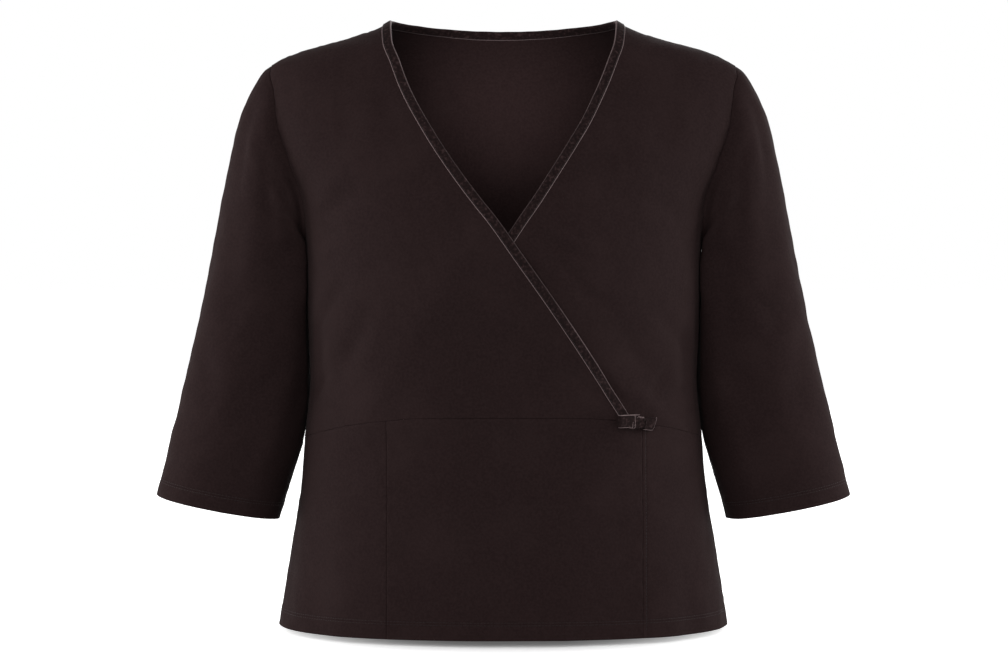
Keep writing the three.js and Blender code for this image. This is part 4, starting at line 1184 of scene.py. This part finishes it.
def binding():
    """The ribbon's points round its section and along it, its grain, and where its rows lie on the cloth."""
    path, length, over_share = ribbon_path()
    plain_run = np.linspace(0, length, 1 + round(length / RIBBON_STEP))

    def cloth_at(inside):
        """Points on the cloth along the ribbon, and the ways out from it and in from its edge there."""
        start = (OVER_END_SLANT * inside + END_GAP) * (1 - smooth(0, END_FADE, plain_run))
        end = (UNDER_END_SLANT * inside + END_GAP) * smooth(length - END_FADE, length, plain_run)
        run = plain_run + start - end
        line = path(run / length)
        ahead = path((run + CORNER_EASE) / length) - path((run - CORNER_EASE) / length)
        into = unit(np.cross(outward(line), ahead))
        spot = press(line + into * inside)
        rise = body_drape(spot) + np.where(run / length <= over_share, over_lift(spot), 0)
        out = outward(spot)
        return spot + out * rise[:, None], out, into

    seats = {inside: cloth_at(inside) for inside in sorted({row["inside"] for row in LEAF})}
    edge, out, into = seats[EDGE_IN]
    middle = -CLOTH / 2
    sections = []
    across = []
    for row in LEAF:
        seat, away, _ = seats[row["inside"]]
        sections.append(seat + away * row["height"])
        across.append(BINDING_WIDTH - row["inside"])
    for angle in np.linspace(20, 160, 9):
        reach = FOLD_REACH * math.sin(math.radians(angle)) + EDGE_IN
        height = middle + (RIBBON_TOP - middle) * math.cos(math.radians(angle))
        sections.append(edge + out * height - into * reach)
        across.append(BINDING_WIDTH + FOLD_ROUND * angle / 160)
    for row in LEAF[::-1]:
        seat, away, _ = seats[row["inside"]]
        sections.append(seat - away * (CLOTH + row["height"]))
        across.append(BINDING_WIDTH - row["inside"])
    sections += [
        edge - out * (CLOTH + RIBBON_CLEAR),
        edge + out * middle - into * FOLD_INSIDE,
        edge + out * RIBBON_CLEAR,
    ]
    across += [BINDING_WIDTH] * 3
    grid = np.stack(sections)
    grain = np.stack(np.broadcast_arrays(np.array(across)[:, None], plain_run[None]), axis=-1)
    return grid, grain * MM, seats


def tube(name, grid, grain):
    """A closed band: rows go round its section, and the section runs along the columns."""
    rows, columns = grid.shape[:2]
    row, column = np.meshgrid(np.arange(rows), np.arange(columns - 1), indexing="ij")
    beyond = (row + 1) % rows
    this_row = row * columns + column
    next_row = beyond * columns + column
    faces = np.stack([this_row, this_row + 1, next_row + 1, next_row], axis=-1).reshape(-1, 4)
    flat = grid.reshape(-1, 3)
    corner = flat[faces]
    centre = flat.mean(axis=0)
    volume = np.sum(dot(np.cross(corner[:, 0] - centre, corner[:, 1] - centre), corner[:, 2] - centre))
    faces = faces if volume > 0 else faces[:, ::-1]
    ends = [(np.arange(rows) * columns).tolist(), (np.arange(rows)[::-1] * columns + columns - 1).tolist()]
    if volume > 0:
        ends = [end[::-1] for end in ends]
    return add_piece(name, flat, faces.tolist() + ends, grain.reshape(-1, 2))


PILE = colour(42, 29.5, 29.5)
PILE_DEEP = colour(29, 20, 20)
PILE_LIGHT = colour(61, 46, 46)
# The woven edges' colour is partly their own and partly painted sheen; it also paints the fold highlights.
WOVEN_EDGE_AND_SHEEN = colour(127, 110, 110)
# The least strength of the painted highlight along the fold.
FOLD_HIGHLIGHT = 0.55
NAP_PATCHES = 330
PILE_TUFTS = 2200


def velvet_paint(shade):
    """Short pile, brushed a little either way, between two fine woven edges, and a painted highlight on the
    fold.
    """
    ribbon = shade.node("ShaderNodeUVMap", {"uv_map": "grain"}, {})
    place = shade.place()
    from_edge = shade.part(ribbon, 0)
    height_up = shade.part(place, 2)
    edge_and_highlight = 1 - shade.between(from_edge, 0.85 * SELVEDGE * MM, 1.15 * SELVEDGE * MM)
    # A band just inside the fold is painted lighter, as a highlight.
    fold_highlight_band = shade.between(from_edge, 8.5 * MM, 8.8 * MM) - shade.between(from_edge, 9.5 * MM, 9.8 * MM)
    # The painted highlight on the fold is strongest near the shoulders, weakest near the bow, none at the
    # back.
    near_shoulder = shade.between(height_up, -0.13, -0.03) * 0.45
    above_bow = shade.between(height_up, -0.34, -0.27) * 0.35
    at_front = 1 - shade.between(shade.part(place, 1), 0, 0.02)
    edge_and_highlight = edge_and_highlight + fold_highlight_band * at_front * (near_shoulder - above_bow + FOLD_HIGHLIGHT)
    nap = shade.noise(place, NAP_PATCHES, 4)
    tuft = shade.noise(place, PILE_TUFTS, 2)
    brushed = shade.between(nap, 0.36, 0.66)
    pile = shade.blend(brushed, PILE_DEEP, PILE)
    pile = shade.blend(shade.between(nap + tuft * 0.2, 0.66, 0.8), pile, PILE_LIGHT)
    height = (1 - edge_and_highlight) * (tuft * 0.6 + nap * 0.8) + edge_and_highlight * 0.2
    bump = shade.node("ShaderNodeBump", {}, {"Strength": 0.6, "Distance": 0.0003, "Height": height})
    return {
        "Base Color": shade.blend(edge_and_highlight, pile, WOVEN_EDGE_AND_SHEEN),
        "Roughness": 0.85 - edge_and_highlight * 0.4,
        "Normal": bump,
    }


velvet = finish_of(
    "velvet_ribbon",
    velvet_paint,
    Specular_IOR_Level=0.06,
    Sheen_Weight=0.03,
    Sheen_Roughness=0.35,
    Sheen_Tint=(1, 0.88, 0.86, 1),
)

ribbon_grid, ribbon_grain, ribbon_seats = binding()
neck_ribbon = tube("neck_ribbon", ribbon_grid, ribbon_grain)
neck_ribbon.data.materials.append(velvet)
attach(neck_ribbon, "root")
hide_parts("neck_binding")

ribbon_runs = []
stitch_seat, stitch_out, _ = ribbon_seats[STITCHED_IN]
for height, facing in ((STITCHED_HEIGHT, 1), (-CLOTH - STITCHED_HEIGHT, -1)):
    ribbon_runs.append((stitch_seat + stitch_out * (height + 0.02 * facing), stitch_out * facing))
ribbon_stitches = stitches("ribbon_stitches", ribbon_runs)
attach(ribbon_stitches, "root")

# The bow is a wider ribbon of the same kind in two flat loops, held in the middle by two short turns of
# it and sewn down on the end of the over front. The wearer's left loop is shorter and hangs lower, and its
# end leans out.
BOW_X = 137.5
BOW_Z = -412.6
BOW_RISE = 5.12
BOW_TURN = 8.6
BOW_TIP = 0.2
BOW_RIBBON = 12.8
LOOPS_APART = 7.5
TURN_WIDE = 12.4
TURN_CREST = 10
TURN_CREST_SPREAD = 0.15
KNOT_TALL = 12.6
KNOT_DEEP = 6.4
LOOP_DEEP = 5
LOOP_THICK = 0.85
KNOT_THICK = 0.8
KNOT_CORNER = 0.5
TURN_PLEAT = 0.32
TURN_HOLLOW = 0.25
TURN_SEAT = 0.1
END_CREST = 4
CREST_SPREAD = 0.3
bow_seat = seen_at(np.array(BOW_X), np.array(BOW_Z), -1)
bow_out = outward(bow_seat)
bow_place = bow_seat + bow_out * BOW_RISE
bow_turn = math.atan2(bow_out[0], -bow_out[1]) + math.radians(BOW_TURN)
bow_matrix = Matrix.Rotation(bow_turn, 3, "Z") @ Matrix.Rotation(math.radians(BOW_TIP), 3, "Y")

# A loop's length, how far up it sits, how it leans outwards going up, how much it narrows at the knot and
# whether its end fold gets a painted highlight and its top woven edge the pile's colour.
BOW_LOOPS = table(
    "node way length up lean narrow open_end",
    ("bow_loop_right", -1, 26, 1.4, 0.02, 0, False),
    ("bow_loop_left", 1, 13, -2.4, 0.4, 1.6, True),
)
# The two turns round the middle. The first one shows beside the second one.
KNOT_TURNS = table(
    "shift shrink top_fall",
    (-7.8, 0.12, 0.1),
    (-4.9, 0, 0.2),
)


def placed(grid):
    """Points of the bow's own frame, where the ribbon's width stands up, in the top's frame."""
    return grid @ np.array(bow_matrix).T + bow_place


# A strip's woven edge and the start of its pile across its width, and how high each stands.
STRIP_EDGE = np.array([0, 0.3, 0.7, 1.0, 1.4, 2.3])
STRIP_PILE = ([0, 0.3, 0.7, 1.0, 1.4, 2.3, 6], [0, 0.12, 0.1, 0, 0.18, 0.3, 0.34])
# Where a loop leaves the knot it is pressed flatter than further out.
ROOT_X = np.array([0, 2, 4.5])
ROOT_HALF = np.array([1.6, 1.9, 2.3])
STRAIGHT_FROM = 7
ROOT_PLEAT = 0.45
SAG = 0.3
DENT = 0.35


def bow_loop(row):
    """A loop from the knot out and back, as it is seen along the ribbon's edge."""
    way = row["way"]
    open_half = LOOP_DEEP / 2
    end_x = row["length"] - open_half
    turn = np.radians(np.linspace(-90, 90, 17))
    straight = np.linspace(STRAIGHT_FROM, end_x, 9)[:-1]
    flat = np.full(len(straight), open_half)
    end = end_x + open_half * np.cos(turn)
    x = np.concatenate([ROOT_X, straight, end, straight[::-1], ROOT_X[::-1]])
    y = np.concatenate([-ROOT_HALF, -flat, open_half * np.sin(turn), flat, ROOT_HALF[::-1]])
    line = points(way * (x + LOOPS_APART / 2), y, 0)
    tangent = np.gradient(line, axis=0)
    inward = unit(np.stack([-tangent[:, 1], tangent[:, 0], np.zeros(len(line))], axis=-1)) * way
    middle = np.linspace(STRIP_EDGE[-1] / BOW_RIBBON, 1 - STRIP_EDGE[-1] / BOW_RIBBON, 11)[1:-1]
    share = np.concatenate([STRIP_EDGE / BOW_RIBBON, middle, 1 - STRIP_EDGE[::-1] / BOW_RIBBON])
    from_edge = np.minimum(share, 1 - share) * BOW_RIBBON
    width = BOW_RIBBON - row["narrow"] * (1 - smooth(0, 9, x))
    near_knot = (1 - smooth(0, 8, x)) * ROOT_PLEAT
    pleat = np.sin(3 * math.pi * (share - 0.5))[:, None] * near_knot
    sag = SAG * np.sin(math.pi * share)[:, None] * smooth(5, 11, x)
    dent = DENT * np.sin(2 * math.pi * share + 1)[:, None] * np.sin(math.pi * x / row["length"])
    pile = np.interp(from_edge, *STRIP_PILE)
    height = (share - 0.5)[:, None] * width
    face = np.zeros((len(share), len(line), 3))
    face[..., :2] = line[:, :2] + (pleat - sag + dent)[..., None] * inward[:, :2]
    face[..., 0] += way * row["lean"] * height * (0.5 + 0.5 * x / row["length"])
    face[..., 2] = height + row["up"]
    outer = face - pile[:, None, None] * inward
    inner = face + LOOP_THICK * inward
    grid = np.concatenate([outer, inner[::-1]])
    to_edge = np.broadcast_to(from_edge[:, None], face.shape[:2])
    if row["open_end"]:
        # The top woven edge gets the pile's colour, and a painted highlight runs along the crest of the end
        # fold.
        plain_top = 2 * smooth(0.5, 0.6, share)[:, None]
        to_edge = np.maximum(to_edge, plain_top)
        from_crest = np.abs(np.arange(len(line)) - (len(line) - 1) / 2 + END_CREST) * CREST_SPREAD
        to_edge = np.minimum(to_edge, from_crest[None])
    across = np.concatenate([to_edge, to_edge[::-1]])
    run = along(line)[1] * np.linspace(0, 1, len(line))
    grain = np.stack(np.broadcast_arrays(across, run[None]), axis=-1) * MM
    return placed(grid), grain


for row in BOW_LOOPS:
    loop = tube(row["node"] + "_ribbon", *bow_loop(row))
    loop.data.materials.append(velvet)
    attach(loop, "root")
    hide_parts(row["node"])
    # Out and back, and round the end.
    flat = (BOW_RIBBON * MM, 2.1 * row["length"] * MM)


def knot_turn(row):
    """A turn of ribbon round the bow's middle, drawn in a little and pleated lengthwise."""
    angle = np.linspace(0, 2 * math.pi, 57)
    across = np.cos(angle)
    up = np.sin(angle)
    y = -(KNOT_DEEP / 2 - row["shrink"]) * np.sign(across) * np.abs(across) ** KNOT_CORNER
    z = (KNOT_TALL / 2 - row["shrink"]) * np.sign(up) * np.abs(up) ** KNOT_CORNER
    half = np.array([0, 0.05, 0.1, 0.14, 0.2, 0.28, 0.36, 0.44])
    share = np.concatenate([half, [0.5], 1 - half[::-1]])
    # Only one edge has the lighter woven line, and a painted highlight runs along the crest of the top fold.
    from_crest = np.abs(np.arange(len(angle)) - TURN_CREST) * TURN_CREST_SPREAD
    pleat = TURN_PLEAT * np.cos(4 * math.pi * share) - TURN_HOLLOW * np.sin(math.pi * share)
    outer = points((share[:, None] - 0.5) * TURN_WIDE, y, z)
    away = unit(points(0, y / KNOT_DEEP**2, z / KNOT_TALL**2))
    outer = outer + away[None] * (pleat[:, None, None] - TURN_SEAT)
    inner = outer - away[None] * KNOT_THICK
    grid = np.concatenate([outer, inner[::-1]])
    grid[..., 2] -= row["top_fall"] * grid[..., 0] * smooth(0, 5, grid[..., 2])
    grid[..., 0] += row["shift"]
    to_edge = np.minimum(share[:, None] * TURN_WIDE, from_crest[None])
    to_edge = np.concatenate([to_edge, to_edge[::-1]])
    run = along(outer[0])[1] * np.linspace(0, 1, len(angle))
    grain = np.stack(np.broadcast_arrays(to_edge, run[None]), axis=-1) * MM
    return placed(grid), grain


for count, row in enumerate(KNOT_TURNS, 1):
    knot = tube(f"bow_knot_ribbon_{count}", *knot_turn(row))
    knot.data.materials.append(velvet)
    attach(knot, "root")
    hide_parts("bow_knot")

# The camera stands 3.25 m in front, a little above the bust and looking slightly down. A big soft box behind
# it gives most of the light, two weaker ones light the cloth aslant, strips at the sides light its edges,
# and a small lamp inside the hollow lights the inside of the back neck.
EYE = (0.0005, -3.255, -0.2)
AIM_Z = -0.3297
LENS = 110.7
SENSOR_WIDTH = 36
FLOOR_Z = -0.636
camera = bpy.data.objects.new("camera", bpy.data.cameras.new("camera"))
bpy.context.scene.collection.objects.link(camera)
camera.location = EYE
camera.rotation_euler = (math.pi / 2 - math.atan2(EYE[2] - AIM_Z, -EYE[1]), 0, 0)
camera.data.lens = LENS
camera.data.sensor_width = SENSOR_WIDTH
bpy.context.scene.camera = camera
bpy.context.scene.view_settings.view_transform = "Standard"

SOFT_BOXES = table(
    "name place aim size power",
    ("left_key", (-2.6, -2.0, 0.5), (0, 0, -0.3), (2.0, 2.0), 9),
    ("right_key", (2.6, -2.0, 0.5), (0, 0, -0.3), (2.0, 2.0), 8),
    ("front_box", (-0.6, -3.4, 0.6), (0, 0, -0.3), (2.6, 2.0), 43),
    ("left_strip", (-1.9, 0.1, 0.1), (0, 0, -0.3), (0.7, 2.0), 26),
    ("right_strip", (1.9, 0.1, 0.1), (0, 0, -0.3), (0.7, 2.0), 26),
    ("back_box", (0.8, 3.2, 1.4), (0, 0, -0.3), (2.4, 2.0), 60),
    ("neck_lamp", (0, -0.09, -0.3), (0, 0.07, -0.11), (0.1, 0.06), 0.05),
)
NECK_BEAM = 46
for box in SOFT_BOXES:
    light = bpy.data.lights.new(box["name"], "AREA")
    light.shape = "RECTANGLE"
    light.size, light.size_y = box["size"]
    light.energy = box["power"]
    lamp = bpy.data.objects.new(box["name"], light)
    bpy.context.scene.collection.objects.link(lamp)
    lamp.location = box["place"]
    lamp.visible_camera = False
    if box["name"] == "neck_lamp":
        light.spread = math.radians(NECK_BEAM)
    way = np.array(box["aim"]) - np.array(box["place"])
    away = math.atan2(math.hypot(way[0], way[1]), -way[2])
    lamp.rotation_euler = (away, 0, math.atan2(way[1], way[0]) - math.pi / 2)

# The white wall behind is seen at full strength but lights the cloth less.
WALL_LIGHT = 0.25
world = bpy.data.worlds.new("white_studio")
bpy.context.scene.world = world
world.use_nodes = True
background = world.node_tree.nodes["Background"]
background.inputs["Color"].default_value = (1, 1, 1, 1)
seen = Shade(world.node_tree).node("ShaderNodeLightPath", {}, {})
world.node_tree.links.new((WALL_LIGHT + (1 - WALL_LIGHT) * seen).socket, background.inputs["Strength"])

# The floor is white paper that glows like a light table. A painted shadow dims the glow in an oval where
# the top stands over it.
FLOOR_HALF = 14
LIT_PAPER = 0.8
PAINTED_SHADOW_PAPER = 0.1
SHADE_WIDE = 0.26
SHADE_DEEP = 0.27
floor_mesh = bpy.data.meshes.new("studio_floor")
floor_mesh.from_pydata(
    [(x * FLOOR_HALF, y * FLOOR_HALF, FLOOR_Z) for x, y in ((-1, -1), (1, -1), (1, 1), (-1, 1))],
    [],
    [(0, 1, 2, 3)],
)
studio_floor = bpy.data.objects.new("studio_floor", floor_mesh)
bpy.context.scene.collection.objects.link(studio_floor)
studio_floor.visible_diffuse = False


def paper_paint(shade):
    """Smooth paper that glows, with a painted shadow softly dimming it in an oval below the hem."""
    place = shade.place()
    across = shade.part(place, 0) * (1 / SHADE_WIDE)
    deep = shade.part(place, 1) * (1 / SHADE_DEEP)
    # An oval of painted shadow dims the paper's glow below the hem.
    outside = shade.between(across * across + deep * deep, 0.2, 1)
    painted_shadow = (PAINTED_SHADOW_PAPER, PAINTED_SHADOW_PAPER, PAINTED_SHADOW_PAPER, 1)
    lit = (LIT_PAPER, LIT_PAPER, LIT_PAPER, 1)
    return {
        "Roughness": 0.85 + 0.05 * shade.noise(place, 3, 1),
        "Emission Color": shade.blend(outside, painted_shadow, lit),
    }


paper = finish_of(
    "white_paper",
    paper_paint,
    Base_Color=(0.95, 0.95, 0.95, 1),
    Specular_IOR_Level=0.1,
    Emission_Strength=1,
)
studio_floor.data.materials.append(paper)

bpy.context.view_layer.update()
